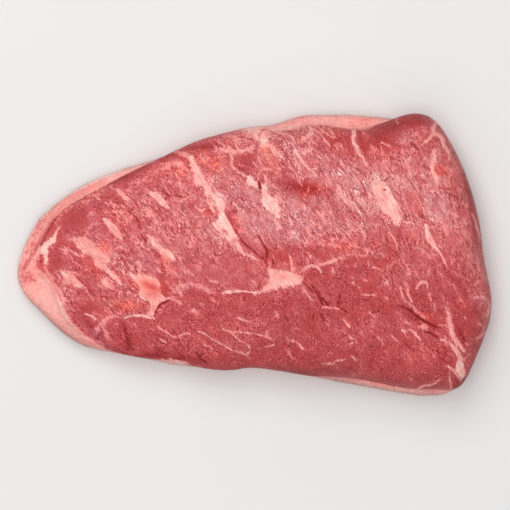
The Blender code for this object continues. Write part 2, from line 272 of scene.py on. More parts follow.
    (0.8, 0.5, (84, 14.2, 1.1), (87, 11, 1.4), (89, 7, 1.3), (89.6, 3.6, 1)),
    (0.8, 0.7, (103, 4.4, 1.4), (106, 2.2, 1.8), (110, -2, 1.2)),
    (0.86, 0.7, (119.4, -32, 1.4), (121.4, -36, 2), (122.5, -41, 2.5), (123.2, -45, 3.2),
     (124.6, -50, 3.2), (126.5, -54, 2.8), (129, -57.5, 2.4), (131.4, -60, 1.4)),
    (0.88, 0.7, (117, -52.4, 1.3), (121, -54.5, 2.3), (125, -58, 2.9), (127.5, -61.5, 3), (129, -65, 3)),
    (0.84, 0.5, (120, -69, 1.1), (124, -71.2, 1.4), (127, -75, 1.4), (130, -78.6, 1.2)),
    (0.82, 0.5, (122, -74, 1.1), (123.4, -80, 1.2), (124, -84, 1.2)),
    (0.78, 0.5, (115, -43.6, 1), (119, -44, 1.1), (123, -45, 1.4)),
    (0.86, 0.5, (116.4, -77.6, 1), (112, -80.8, 1.3), (107, -81.6, 1.7), (102.6, -84.4, 2)),
    (0.78, 0.6, (91.6, -20, 1.1), (92.4, -25.6, 1.5), (95, -29, 1.4), (99, -32, 1.3), (103, -36, 1.4),
     (106.4, -39, 1.2)),
    (0.8, 0.5, (93.6, -15, 1), (96, -20, 1.3), (96.5, -25, 1.3), (98.4, -28.6, 1)),
    (0.84, 0.5, (101.6, -21, 1), (103.4, -17.6, 1.9), (106, -16.6, 2.3), (108, -17.6, 1.8),
     (108.5, -21.4, 1)),
    (0.74, 0.7, (92.4, -1, 1.2), (94, -5, 1.6), (96.6, -8.6, 1.6), (97.4, -11.6, 1.1)),
    (0.85, 0.5, (97, -46.4, 1.4), (100, -48, 1.8), (102.6, -51, 1.4), (104.2, -53.4, 1)),
    (0.8, 0.6, (103, -44.6, 1.5), (107.4, -45.6, 1.7)),
    (0.72, 0.5, (124, -10, 0.9), (129, -13, 1.1), (134, -15.4, 0.9)),
    (0.74, 1, (134, -5, 2.6), (136, -8, 2.6)),
    (0.8, 0.7, (137.6, -27, 1.4), (141.6, -26, 1.8), (144.4, -28, 1.4)),
    (0.85, 0.7, (146, -38.4, 1.6), (147.6, -33.6, 2.3), (147, -30, 1.5)),
    (0.83, 0.7, (140, -52, 2), (144, -49, 2.4)), (0.74, 0.8, (130, 15, 2.4), (134, 10, 3.2)),
    # fat along the lean's own edge, round the tip, made pale also as painted light over the shade where the
    # lean meets the fat
    (0.82, 1.2, (-66, 58.2, 0.8), (-76, 54, 1.2), (-86, 49.4, 1.8), (-96, 44.2, 2.8), (-106, 38.6, 3.6),
     (-114, 33, 3.6), (-120, 27.6, 3.2), (-125, 23.8, 2.2)),
    (0.74, 1.2, (-125.5, 23.6, 1.8), (-130, 17.5, 1.6), (-134, 10.4, 1.6), (-136.4, 4, 1.4)),
    (0.84, 1.6, (-132, -7, 2.4), (-130, -13.5, 4), (-127, -18.6, 5), (-124, -23.5, 4.4),
     (-121.4, -29, 4.4)),
    (0.88, 1.3, (-124, -19, 1.4), (-121.6, -24, 3), (-119.4, -29, 3.4), (-118.4, -32, 2)),
    (0.91, 1.4, (-122.6, -27, 2), (-120.6, -31.4, 5), (-119, -36, 4.6), (-116.4, -40.4, 3),
     (-112.5, -44.2, 1.8)),
    (0.82, 1.3, (-113, -44, 2), (-107, -49.5, 2.6), (-101, -54, 2.6), (-94, -58, 1.8)),
    # fat along the far edge, made pale also as painted light over the shade where the lean meets the fat
    (0.88, 1, (50, 80.9, 1.2), (57, 80, 2.2), (64, 79.5, 2.8), (70, 79.5, 2.6), (75, 80.6, 1.6)),
    (0.92, 1, (3, 80, 2.6), (12, 79.8, 4.6), (20, 80.2, 5), (27, 81.2, 4), (34, 82, 2.6), (42, 82.2, 2),
     (50, 81.4, 1.8)),
    (0.95, 1, (-7, 79.6, 2), (-2, 79.6, 5), (4, 80.4, 5), (10, 81, 4), (15, 81.4, 3)),
    (0.86, 0.5, (19, 80.4, 1.4), (22.4, 81.4, 2)),
    # fat along the near edge, thick at the corner
    (0.9, 0.8, (-58, -65.4, 0.8), (-53, -66.2, 2.2), (-47, -67, 2.4), (-41, -67.8, 0.8)),
    (0.87, 0.9, (42, -76.2, 0.8), (50, -77.2, 1.6), (58, -78.2, 2.6), (66, -79.2, 3), (74, -80.8, 2.2),
     (82, -82.8, 1.2), (90, -83.8, 1.2), (98, -84.4, 1.8), (106, -85, 2.4), (114, -85.6, 3.4),
     (120, -85.8, 3.4), (125, -85.4, 2)),
)

# Short flecks of one softness, by their tone: both ends and the width of each
FLECK_SOFT = 0.55
FLECKS = {
    0.7: (
        (121, -16, 126, -20.4, 0.85),
    ),
    0.72: (
        (-30, 3, -27.5, 0, 1.1), (-33.5, -30.4, -31, -30.7, 1), (-2, 32.4, 2.6, 35.4, 0.9),
        (2, 29.6, 4.4, 26.6, 0.95),
    ),
    0.74: (
        (-82, -12, -79.5, -16.5, 1), (-92.5, 28, -89, 26.5, 1.1), (-110.5, -26, -107.5, -28, 1.1),
        (-122, -13, -123.5, -17.5, 1.2), (46, 50.6, 48.6, 46.8, 1.35), (-6, 14.5, -4.6, 11.6, 0.95),
        (106.6, 78.6, 107.6, 76.4, 1.2), (96, 65, 97, 62.6, 1.3), (127.4, -28.2, 127.6, -29, 1.2),
    ),
    0.76: (
        (-50.5, 37, -47, 33, 1.2), (-52.5, 20.5, -48, 17, 1.15), (-52, 44, -49.5, 47.5, 1.3),
        (-42, 47, -40, 49.5, 1.2), (-72, -1, -70, 2.5, 0.95), (-84, -8, -86, -9.5, 1.1),
        (-104.5, 33.8, -101, 34.5, 1.1), (-93.5, 33.5, -91, 31, 1.2), (-114.5, -21.5, -112, -24, 1.3),
        (-115, -27, -113.5, -28, 1.2), (-103.5, -24.5, -100.5, -28.5, 1.3), (-41.5, -35.2, -38, -35.6, 1),
        (35, 23.4, 37, 22, 1.1), (122, 27.4, 124, 23.8, 1), (101, 76, 104.4, 72, 0.95),
        (98.6, 78, 101, 74.6, 0.9), (104, 68.4, 108, 70, 0.95), (127, -4.6, 128, -9, 1.1),
        (134, -21.6, 134.2, -22.6, 1.1), (132, -38.6, 132.2, -39.6, 1), (133, -55, 134, -56, 1.2),
    ),
    0.78: (
        (-89.5, 43, -87, 40.5, 1.2), (-67.5, 36, -64.5, 34.2, 1.4), (-64, 16.8, -60, 14, 1.5),
        (-34.5, 24, -30, 24.2, 1.1), (-117.5, -32.5, -112.5, -35.5, 0.95), (-25.8, -27.8, -24, -29.6, 1.3),
        (-9, 56.2, -6, 55.4, 1.05), (0, 57.4, 3.4, 54.4, 1.05), (30, 80, 32, 77.6, 1.1),
        (58, 22.4, 62, 16.4, 1.05), (73, 63.8, 77, 65.6, 1.15), (80, 70.2, 84.4, 67.4, 1.05),
        (125.4, 22.4, 128, 16.8, 1.1), (112.4, -30, 113, -34.4, 1.3), (95, -42, 98.6, -42.6, 1.05),
    ),
    0.8: (
        (-78, -6.3, -74, -8.8, 1.3), (-103.5, 24.5, -101, 27, 1.1), (-100.5, 13.5, -95, 9, 1.1),
        (-97.5, 13.5, -94.5, 11, 0.95), (-115.6, 28.8, -115, 29.3, 1.3), (-107.5, 36.5, -103, 38, 1.5),
        (-100.5, 37.6, -97, 35, 1.4), (-98, 44.6, -93, 43.2, 1.5), (3.2, 60.2, 5.2, 57, 1.25),
        (12, 73, 17.5, 72.4, 1.15), (16, 80.4, 22, 79, 1.3), (12, 75.4, 15, 74, 1.2),
        (62, 50.2, 65.4, 45.6, 1.2), (-9.4, 24.4, -3.6, 23.4, 1), (85.6, 52.8, 90, 55, 1.3),
        (109.4, -24, 110.6, -28.2, 1.25), (139.5, -2, 140.5, -10, 1.1),
    ),
    0.82: (
        (60, 35.8, 66, 33.2, 1.5), (131, -66, 134.6, -62, 1.1), (138, -18.6, 140.2, -16.4, 1.2),
    ),
    0.84: (
        (17.4, 24.4, 19.8, 21.2, 1.3), (92.6, -47, 96, -47.6, 1.3), (26, 81.6, 26.8, 79.6, 1.2),
        (31, 82, 31.8, 80, 1.3), (34, 82, 35, 80.4, 1.3), (38, 82.2, 38.6, 80.4, 1.3),
        (43, 82, 44.4, 80.2, 1.2), (48, 81.6, 49.6, 79.8, 1.4),
    ),
}

# Fine veins of the smooth lower muscle, all of one width
VEIN_TONE = 0.84
VEIN_WIDTH = 1.05
VEINS = (
    ((-60, -45), (-56, -47.5), (-52, -50), (-49.5, -51.5), (-47.5, -51), (-45, -50), (-42, -49),
     (-39.5, -49.5)),
    ((-36, -48.3), (-33, -48), (-30, -49.5), (-27, -51.5), (-24, -53.5), (-20, -55.5), (-14, -59),
     (-6, -61.5), (-3, -64.5)),
    ((-19, -46.5), (-14, -48), (-9, -53), (-4, -55), (-2, -59), (-4, -62)),
    ((-12, -48), (0, -49), (8, -51), (12, -53), (13, -56), (8, -57)), ((8, -47.5), (8.5, -51)),
    ((23, -53.5), (27, -54), (31, -58.5)), ((20, -59), (22.5, -61.5), (25, -65)),
    ((55.5, -40), (60, -44.5)), ((43, -67.5), (50, -67.5), (51, -66), (57, -65)),
    ((-30.5, -56), (-28, -57.5), (-25.5, -59.5)), ((14.5, -37), (15.8, -39.4)),
    ((59.6, -50.4), (62.2, -52.6)), ((59.4, -55.6), (62, -54.4)), ((61.3, -13.6), (62.4, -14.8)),
    ((62, -17), (66.4, -20)), ((71, -35), (75, -38), (77.4, -36.2)),
    ((74, -7.6), (78, -8.4), (80.4, -10.4)), ((84, -7.2), (86, -6)), ((82, -26), (84.2, -28.2)),
    ((86, -50.6), (90, -54)), ((78, -51), (80.6, -55.4)), ((31, -20.6), (34, -25), (37.4, -28.8)),
    ((43, -32.4), (48, -32.6), (53, -33.4)), ((-10, -39), (-2, -42)), ((61.5, -63), (64.2, -65.6)),
    ((68, -24.6), (76, -25)), ((82, -16.8), (83.6, -18)), ((-58, -53), (-55.5, -54.6)),
)

# Cracks between fibre bundles, dark with painted shade where they open: (x, y, width) rows
CRACKS = (
    ((2.7, 12.2, 0.7), (5, 8.5, 0.9), (7, 5.5, 1.1), (8.4, 2.4, 1.6), (8.2, -2.2, 0.9)),
    ((12, -2.4, 0.9), (12.6, -5.4, 1)),
    ((-16.5, 25.5, 0.5), (-13.4, 20, 0.6), (-11.3, 15, 0.7), (-8.4, 10.4, 0.8), (-5.4, 7, 1.1),
     (-2, 4, 1.1), (0.5, 2.8, 0.6)),
    ((-0.5, 2.8, 0.7), (4, -1, 0.9), (8.4, -3.8, 0.8)), ((3.5, 45.4, 1.4), (4.3, 41.8, 1.6)),
    ((81.3, 40.7, 1.3), (82, 40.2, 1)),
    ((-52.5, -28.3, 1), (-55, -29.5, 1.4), (-58.4, -31, 1.4), (-60, -33.5, 1.3), (-61.4, -36, 1.1),
     (-62, -38.4, 0.9)),
    ((31, -16.6, 0.8), (34, -20, 1), (36.4, -22.6, 0.9)),
    ((37.4, -21, 0.9), (40, -25, 1.1), (42, -28.5, 1.2), (43.2, -31.6, 0.9)),
    ((36, -18.6, 0.7), (39.6, -22, 0.9), (42, -25, 0.9)),
    ((42, -26, 0.8), (45, -29.5, 1.2), (46.8, -32, 0.9)), ((54, -24, 0.8), (53, -31, 1)),
    ((52, -32, 0.8), (56, -34, 1), (58.6, -36, 0.8)), ((42, -36.8, 1), (44.2, -41, 1)),
    ((37.6, -37, 0.9), (37, -41, 0.9)), ((19.4, -38, 0.9), (21.6, -41, 0.9)),
    ((91, -31.5, 0.8), (96, -33.5, 1.1), (99.5, -36, 1.5), (103, -39, 1.3), (108, -42, 1.5),
     (113, -44.5, 1.1), (117, -45.6, 0.8)),
    ((107, -48, 0.8), (110, -48.5, 1.5), (113, -50.4, 1.3), (116.2, -51.7, 0.8)),
    ((112, -59.4, 0.9), (116.2, -61, 1)),
    ((-35.8, -61, 0.9), (-34.5, -63.5, 1.1), (-32, -66, 1), (-30, -67.2, 0.8)),
    ((-31.4, -62, 0.9), (-33.8, -64, 0.9)),
)

# Shallow creases, thinner than a crack and with less painted shade
LINE_SOFT = 0.5  # of veins, cracks and creases
CREASE_WIDTH = 0.9
CREASE_LEVEL = -0.15
CREASES = (
    ((-78.5, 27.4), (-76, 25.6), (-73.6, 24), (-72.4, 20.6), (-71, 16), (-70, 12), (-67.6, 8.6)),
    ((-82.4, 32), (-78, 28.8)), ((-73.5, 23.5), (-72, 20.5), (-71.6, 17)),
    ((-86, 3), (-83, -1), (-80, -4.4)), ((-84, 4), (-81, 0.4), (-78.6, -2.4)),
    ((-64, 3), (-61, -0.6), (-58, -4), (-56.8, -8)), ((-62, 3), (-59, -1), (-57, -4)),
    ((-83, -1.8), (-80, -6), (-78, -11)), ((-78.4, -15.6), (-75.6, -19), (-73, -21.4)),
    ((-109.5, -15), (-106, -19), (-103, -22), (-99.6, -25.4), (-96, -26), (-88, -27)),
    ((-83, -41), (-81.5, -45), (-80.4, -48.4)), ((-49, -52.4), (-46, -55.4), (-43.4, -58.6)),
    ((-59, -54), (-54, -57)), ((-57, -52), (-52, -55)),
    ((-66, -62), (-60, -64), (-50, -65), (-43, -64.6)), ((-48, -59), (-46, -62), (-43, -64.2)),
    ((-62, -57), (-58, -60), (-55, -62)), ((-27.5, 28.4), (-25.6, 25.6)),
    ((-52, 37), (-48.6, 36.8), (-45.6, 36)), ((-57, 40), (-53, 37)), ((-9, 74), (-4, 73), (0, 71.6)),
    ((3.4, 75), (5, 77.6), (8, 79)), ((20, 77.6), (24, 77), (25, 74.6)), ((20, 18.6), (22.6, 15.4)),
    ((24, 16), (26, 18.6)), ((52, 57.6), (55, 54), (57.2, 51.8)), ((60, 27), (66, 20)),
    ((63, 27), (68, 21)), ((55, 35), (59, 29), (63, 24)), ((62, 36), (66, 30), (70, 24)),
    ((66, 41), (70, 35)), ((67, 45), (69.5, 40), (70.6, 37)), ((82, 46), (86, 50)), ((84, 51), (87, 47)),
    ((98, 45), (100, 41)), ((101, 49), (107, 45.4)), ((116, 42), (121, 41), (126, 41.6)),
    ((103, 57), (110, 53)), ((104, 27), (106, 23), (108.4, 19.6)), ((93, -53), (97, -57.4), (100, -60)),
    ((98, -63), (101, -66.4), (102.6, -68.6)), ((105, -60.4), (108, -63)),
    ((113, -57), (118, -57.6), (120, -60)), ((114, -62), (118, -65.4), (121, -67.6)),
    ((119, -61), (124, -64.6)), ((80, -44.6), (82.6, -47)), ((119.4, -24), (120, -29)),
    ((127, -45), (129, -50)), ((-30, -1.4), (-26, -4.4), (-23, -5.4)), ((-15, 37), (-13, 35), (-14, 31)),
    ((-19, 43), (-15, 42)), ((-10, 37), (-6, 34)), ((64, 54), (70, 49)), ((58, 63), (63, 57.6)),
    ((98, 70), (102, 66)), ((97, 66.4), (101, 69)), ((-108, -47), (-101, -52.6), (-93, -57.6)),
    ((-104, -48), (-98, -52.6), (-93, -55.4)), ((-117, -36), (-114, -40.6), (-109.6, -45)),
    ((93, -36), (98, -39), (104, -43.6)), ((60, -70), (66, -73)), ((108.5, -15.5), (110, -20)),
)

# Soft lines of darker or redder flesh; the one down the right rim is painted shade
SHADES = drawn(
    Shade,
    (-0.1, 1.4, (-77, 28), (-74, 24.6), (-71.5, 19), (-69, 12), (-66, 6)),
    (-0.2, 2.6, (-58, -8), (-57, -14), (-56, -20), (-55, -26)),
    (-0.08, 1.8, (-60, -50), (-61, -56), (-62, -60)),
    (-0.16, 1.6, (-82, -41), (-80.6, -46), (-79, -53), (-78, -59)),
    (-0.16, 2.4, (-68, -62.6), (-55, -63.4), (-44, -64.6), (-30, -67)),
    (-0.1, 1.6, (90, -31), (97, -35.6), (106, -41.6), (117, -46)),
    (-0.12, 2, (60, 80), (60, 72), (62, 64)), (-0.14, 2.2, (66.6, 79), (67, 70), (71, 62)),
    (-0.14, 2.2, (-104, -2), (-100, -8), (-95, -12), (-89, -15.6)),
    (-0.12, 1.4, (-104, -12), (-110, -9), (-114, -4)),
    (-0.12, 1.4, (-110, -15), (-106, -21), (-101, -25)),
    (-0.16, 2.6, (-95, 46), (-86, 48.4), (-76, 52.6), (-66, 56.4)),
    (-0.2, 2.2, (-42, 67.4), (-35, 67.2), (-28, 67.8), (-21, 68.4)),
    (-0.16, 2.4, (-58, 62), (-50, 63), (-45, 61)), (-0.2, 1.6, (-52, 37.4), (-46, 36.4)),
    (-0.14, 1.4, (-57.6, 40.4), (-53, 37)), (-0.14, 2.4, (-14.4, 25), (-11.6, 20), (-9, 15), (-7, 11)),
    (-0.12, 1.8, (30, 79), (28.6, 76), (27.4, 72.4)), (-0.16, 1.6, (103, 57), (110, 53.4)),
    (-0.14, 1.6, (113, 54), (119, 50.6)), (-0.14, 1.8, (103, 28), (106, 23), (108.6, 19)),
    (-0.16, 2.4, (134, 44), (136, 34), (137.4, 22), (138.6, 8)), (-0.12, 2, (91.6, 18), (90, 8), (89, 0)),
    (-0.1, 1.6, (127, -44), (130, -50), (131.4, -55)), (-0.12, 1.8, (-100, 34), (-92, 36), (-84, 33.6)),
)

# The smooth lower muscle; its border is crisp along the seam and fades out past FADE_FROM
LOWER_MUSCLE = (
    (-104, -60), (-97, -48), (-88, -41), (-75, -38.5), (-62, -39.5), (-57, -31), (-50, -28), (-46, -21),
    (-36, -20.5), (-28, -24), (-12, -23), (8, -23.5), (28, -19), (34, -10), (50, -4), (68, 0), (84, 1),
    (97, -4), (108, -14), (118, -28), (126, -50), (133, -78), (133, -95), (-104, -95),
)
FADE_FROM, FADE_TO = 50, 95
UPPER_TONE = 0.604
LOWER_TONE = 0.44

# Soft changes of tone over the lean; some are painted light and shade: lighter along the far rim over the
# shadow of the gap to the fat, darker along the right and near edges
TONE_BLOTS = spots(
    (33, 41.5, 8.8, 4.3, -0.34, -8), (20, 45, 14, 4.5, -0.14, -8), (97, 84, 17, 6, -0.3, 12),
    (78, 74, 13, 10, -0.16), (-5, 57, 8, 7, -0.22), (15, -2, 12, 5, -0.11, -10), (35, 0, 16, 5, -0.1, 4),
    (50, 70, 13, 9, -0.12, -30), (-112, 21, 10, 8, -0.14, 20), (-125, -3, 6, 11, -0.16),
    (-107, -34, 8.2, 5, -0.16, -8), (-100, -46, 12, 6, -0.08, -40), (60, 6, 10, 5, -0.04),
    (88, 12, 10, 12, -0.08), (100, 33, 8, 6, -0.1), (-30, 27, 4, 3, -0.12, -10), (-15, 27, 3, 3, -0.16),
    (-79, -56, 4, 4, -0.1), (-48, 26, 14, 10, -0.04), (-70, -1.5, 9, 6, -0.09, -35),
    (-45, 42, 9, 5, -0.06, 20), (14, 69, 4, 3, -0.1, -30), (118, 40, 10, 16, 0.03),
    (75, 45, 22, 10, 0.05, -10), (30, 24, 34, 12, 0.04), (128, -35, 9, 14, -0.1, 15),
    (125, -12, 12, 8, -0.06), (-78, 24, 7, 7, 0.06), (70, 38, 7, 17, 0.1, 15), (106, 32, 9, 13, 0.08),
    (-18, 46, 8, 6, 0.1), (-90, 1.2, 6, 4.8, 0.12, -20), (86, -15, 14.5, 9, 0.12), (73, -46, 12, 7, 0.11),
    (-38, -56, 26, 7, 0.06, -8), (46, -25, 12, 6, 0.05), (-90, -30, 16, 7, -0.1, -15),
    (-96, 27, 6, 7, -0.08), (-80, 47, 12, 5, -0.07, 25), (2, -14, 9, 6, -0.1), (-36, -15, 16, 4, -0.06),
    (86, 66, 14, 6, -0.1), (35, 40, 12, 5, -0.06), (138, -45, 8, 22, -0.1, 15), (-30, 14, 7, 6, 0.06),
    (-36, -8, 28, 10, -0.03), (22, 25.5, 7, 5, 0.1), (132, -28, 8, 14, -0.04),
    (25, -62, 26, 8, -0.05, -5), (56, 52, 9, 6, 0.06), (96, 28, 4.5, 9, 0.09), (-57, -5, 5, 4, 0.05, -50),
    (97, 73, 5, 4, 0.14), (-90, 50, 12, 4, -0.1, 25), (-60, 60, 14, 3, -0.1, 22), (-97, 33, 8, 6, -0.06),
    (-92, 17, 4, 9, -0.08, -35), (-22, 71, 7, 4, -0.14), (52, 72, 6, 6, -0.08), (80, 70, 5.6, 5.2, -0.13),
    (42, 0, 16, 5, -0.06, 10), (-67.6, -31.4, 4, 3.4, -0.16), (-10, 20, 4, 9, 0.09, 30),
    (-25, 12, 9, 4, 0.06, -30), (92, 38, 4, 6, 0.08), (108, 55, 9, 8, 0.08), (110, 25, 9, 4.4, 0.13, -34),
    (29, -21, 8, 5, 0.1, -10), (-77, -45, 9, 5, 0.05), (-48, -42, 8, 8, 0.06), (-15, -57, 9, 5, 0.06),
    (23, 79.6, 9, 3.4, 0.2), (-3, 75.6, 6, 3, 0.16, 30), (-85, 48, 14, 4, -0.06, 22),
    (-105, 30, 6, 6, -0.05), (-90, 13, 4, 4, -0.06), (40, 50, 24, 7, 0.05, -5), (90, 48, 22, 8, 0.05),
    (0, 22, 7, 12, 0.05), (20, 3, 16, 6, -0.04, 15), (-102, -33, 14, 6, -0.04, -10),
    (123, -10, 8, 22, -0.05, 10), (129, -54, 5.6, 8, -0.13), (110, 75, 12, 6, -0.06),
    (-10, -40, 16, 16, 0.03), (5, -46, 6, 8, 0.05), (60, -34, 10, 7, 0.05), (95, -36, 14, 8, 0.05),
    (-60, -56, 12, 4, 0.04), (-127, 17, 7, 2, -0.11, 58), (-117, 26, 8, 5, -0.08, 40),
    (-121, 14, 4, 8, -0.08), (-109, -24, 7, 5, -0.12, -30), (68, 4, 6, 4, 0.07), (85, 8, 5, 5, 0.04),
    (100, 12, 5, 5, 0.07), (88, 47, 5, 4, 0.05), (64, 41, 5, 5, -0.04), (68, 34.5, 10, 12, 0.08, 5),
    (40, -22, 10, 7, 0.03), (129, -80.5, 4.5, 4, -0.24), (114, 54, 4, 5, -0.06), (125, 25, 6, 8, -0.05),
    (-50, 15, 7, 6, -0.06), (-50, 45, 7, 6, -0.05), (70, -25, 8, 5, -0.08), (90, -60, 9, 6, 0.05),
    (10, 60, 5, 5, 0.04), (-5, 56, 5, 5, 0.04), (0, 25, 5, 6, -0.05), (35, 2, 7, 3, -0.06),
    (-97, 21, 5.5, 4.5, -0.11), (-62, -27, 3, 2, -0.05), (-64.5, 39, 3.5, 5.5, -0.11),
    (113, 37, 4, 3, -0.06), (29, -75, 13, 2.7, -0.14, -6), (102, -10, 8, 6, -0.05),
    (78, 31, 4, 6, 0.06, -30), (-128, 20, 4, 5, 0.05, 40), (-122, -27, 3, 5, 0.06, 20),
    (33, 44, 14, 3, 0.03), (-10, 46, 8, 5, 0.06), (135, 0, 4, 10, 0.05), (-58, -32, 3, 4, 0.06),
    (-36, -66, 6, 3, 0.03), (-75, 45, 18, 6, -0.07, 15), (-38, 62, 12, 4, -0.06, 10),
    (-106, -42, 10, 4, -0.08, -10), (-6, 3, 6, 4, -0.05), (135, 42, 4, 26, -0.08, 12),
    (139, -60, 4, 16, -0.1, -17), (30, 49, 8, 3, 0.05), (66, 15, 8, 6, 0.04), (116, 74, 6, 5, -0.05),
    (-84, -61, 16, 2.4, -0.06, -10), (-112, 4, 6, 8, -0.09), (20, 12, 10, 6, 0.04),
    (14, 22, 3, 10, -0.05),
)

# Painted sheen: a painted reflection of the light, lavender, which also gives membranes their pale lilac; and
# coral or red flesh
PAINTED_SHEEN_AND_MEMBRANE_BLOTS = spots(
    (30, 26, 45, 20, 0.9), (110, 42, 14, 22, 0.8), (45, 58, 25, 8, 0.8, -15), (-8, 38, 16, 14, 0.8),
    (-68, -3, 14, 9, 1.2, -20), (-60, 38, 12, 10, 0.3), (-42, 28, 18, 12, 0.5),
    (20, -26, 24, 6, 0.3, -10), (-98, -48, 8, 7, 0.7), (-30, -8, 20, 9, 0.3), (22, 66, 14, 6, 0.7, -20),
    (95, 73, 6, 5, 1.2), (97, -8, 6, 12, 0.8, 20), (-119, -11, 4, 3, 1.2), (142, -27, 4, 3, 0.9),
    (-99, -53, 14, 3, 1.4, -38), (6, 17, 11, 8, 0.6), (-100, 20, 5, 8, 0.9), (115, 30, 7, 8, 0.6),
    (-40, -20, 10, 3, 0.8), (-120, -34, 3, 6, 0.8, 25), (78, 46, 16, 8, 0.6),
    (-17, 14.5, 3, 1.6, 1.2, -40), (90, 80, 30, 5, -0.5, 10), (-27, 13, 8, 6, 0.6, -50),
    (0, 25, 7, 7, 0.3), (125, 25, 6, 8, 0.3), (66, 34, 8, 16, 0.4, 15), (94, 45, 8, 5, 0.5),
    (114, 28, 6, 8, 0.5), (10, 60, 5, 5, 0.3), (55, 8, 14, 6, -0.3), (33, 41.5, 9, 4, -0.7, -8),
    (22, 13, 12, 6, 0.4),
)
WARM_BLOTS = spots(
    (-65.5, -19.5, 8.5, 5.5, 1.3, -20), (-25, 57.5, 9, 5, 1, -20), (-47, 53, 10, 5, 0.7, 20),
    (-54, -6, 7, 4, 1, -50), (-80, -32, 8, 4, 1, -10), (-94, 4.6, 4.5, 4, 1), (-100, -8, 10, 3, 0.7, -45),
    (-94, -36, 5, 3, 0.7, -20), (7.5, 66, 3.5, 3, 1), (12, 57, 7, 4, 0.6, -30), (-12, 20, 4, 9, 0.7, 25),
    (15, -2, 12, 6, 0.5), (105, 24, 5, 3, 0.6, -60), (116, 52, 5, 3, 0.8, -30),
    (107, -37.6, 5, 2.4, 0.9, -30), (122, 50, 8, 12, 0.4), (58, 6, 16, 6, 0.5), (85, 8, 8, 6, 0.3),
    (100, 34, 5, 5, 0.6), (-127, 18, 8, 3, 0.4, 58), (33, 41, 8, 4, 0.3), (100, 12, 6, 5, 0.3),
    (114, 54, 4, 5, 0.4), (80, 68, 14, 8, 0.3), (50, 74, 10, 7, 0.5, -50), (33, 41.5, 9, 4.5, 0.4, -8),
    (-58, 56, 10, 3, 0.5, 24), (-30, 27, 5, 3, 0.6, -10), (-84, 24, 8, 6, 0.5, -40), (86, -5, 8, 4, 0.5),
    (-52, 32, 5, 4, 0.3), (-136, -5, 6, 5, 0.8), (-103, 40, 8, 3, 0.5, 30), (129, -82, 4, 4, 0.5),
    (100, 86, 16, 4, 0.3, 8),
)

# Where the grain is softer
CALM_BLOTS = spots(
    (-127, 18, 9, 3.4, 1, 58), (-117, 24, 9, 8, 0.7), (-109, -24, 8, 5, 0.5, -30), (-24, -14, 34, 7, 0.9),
    (5, 17, 11, 8, 0.8), (-125, -3, 6, 12, 1), (-112, 21, 12, 9, 0.8, 10), (90, 82, 26, 6, 0.6, 8),
    (-106, -34, 10, 5, 0.7, -10), (-58, 50, 10, 4, 0.5, 20), (28, -2, 26, 5, 0.5, 5),
    (128, -10, 14, 40, 0.4, 10), (-4, -12, 12, 8, 0.5), (-26, 68, 14, 3, 0.8, 5), (110, 58, 18, 12, 0.3),
    (33, 42, 9, 5, 0.5, -8), (-66, 20, 4, 4, 0.7), (-65, -19, 9, 7, 1), (98, 36, 7, 5, 0.6),
)

# Changes of tone within the pale marks: the whitest places, and darker places, some of them red flesh that
# shows through
BLUSH_BLOTS = spots(
    (6, 72, 3.5, 3.5, 0.1), (2, 79, 3, 2, 0.04, -40), (-16.5, 18, 6, 3, 0.06, -55),
    (-132, 4, 5, 2.5, 0.06, 45), (22, -17, 8, 2.5, 0.04), (129.6, -71, 2.5, 4, 0.03),
    (82, 33, 4, 5, 0.02, -50), (-67, -18.2, 5, 2.6, -0.22, -25), (-62, -20.6, 4.5, 3, -0.32, -35),
    (-65, -25, 5, 2.4, -0.18, -10), (-63.2, -33, 1.8, 4.5, -0.16, -10), (-94.5, 4.4, 3.5, 3, -0.08),
    (-56, -3.5, 4, 2.6, -0.12, -45), (-17.6, 14.6, 2.4, 1.2, -0.28, -40), (-11.6, 9, 1.6, 1.4, -0.2),
    (8.5, 75, 2, 2, -0.1), (-33, 52, 3, 3, -0.05), (4, 73.4, 0.8, 3, -0.14, -30), (81, 36, 4, 3, -0.04),
    (-118, -16.5, 4, 2, -0.06, -20),
)

# Painted shade: where the colour is darkened as if less light came back, mostly along edges and rims; the one
# blot below zero, along the far rim, is painted light over the shadow of the gap to the fat
PAINTED_SHADE_BLOTS = spots(
    (26, 80.5, 30, 2.4, -0.12, 2), (131, -80, 5, 5, 0.2), (30, -75, 14, 3, 0.16, -6),
    (60, -79, 10, 2, 0.12, -8), (86, 85, 8, 3, 0.1), (20, -46, 40, 16, 0.06, -5),
    (100, 84, 22, 5, 0.1, 10), (134, 40, 4, 30, 0.08, 10), (143, -40, 6, 24, 0.06, 10),
    (126, -50, 12, 16, 0.05, 20), (-80, 51, 30, 3, 0.08, 24), (-36, 68, 24, 4, 0.05, 14),
)

# Where short flecks of fat lie
SCATTERS = [Scatter(*row) for row in (
    (40, 70, 24, 11, -12, 26, 5, 1, 0.8), (30, 28, 44, 24, 0, 90, 2.6, 1, 0.8),
    (-80, 8, 42, 36, 0, 70, 3.6, 1, 0.8), (-45, 36, 30, 22, 20, 60, 4, 1, 0.8),
    (40, -46, 80, 26, -6, 90, 2.2, 0.9, 0.66), (122, 8, 60, 22, -80, 70, 3.4, 1, 0.76),
    (108, -52, 22, 20, 0, 36, 2.6, 0.9, 0.72), (40, -6, 38, 10, 5, 40, 2.4, 1, 0.74),
    (-15, 66, 20, 9, 10, 20, 5, 1, 0.8), (-95, -30, 26, 16, -20, 40, 2.6, 0.9, 0.72),
    (95, 58, 30, 22, 0, 60, 3.6, 1, 0.78),
)]
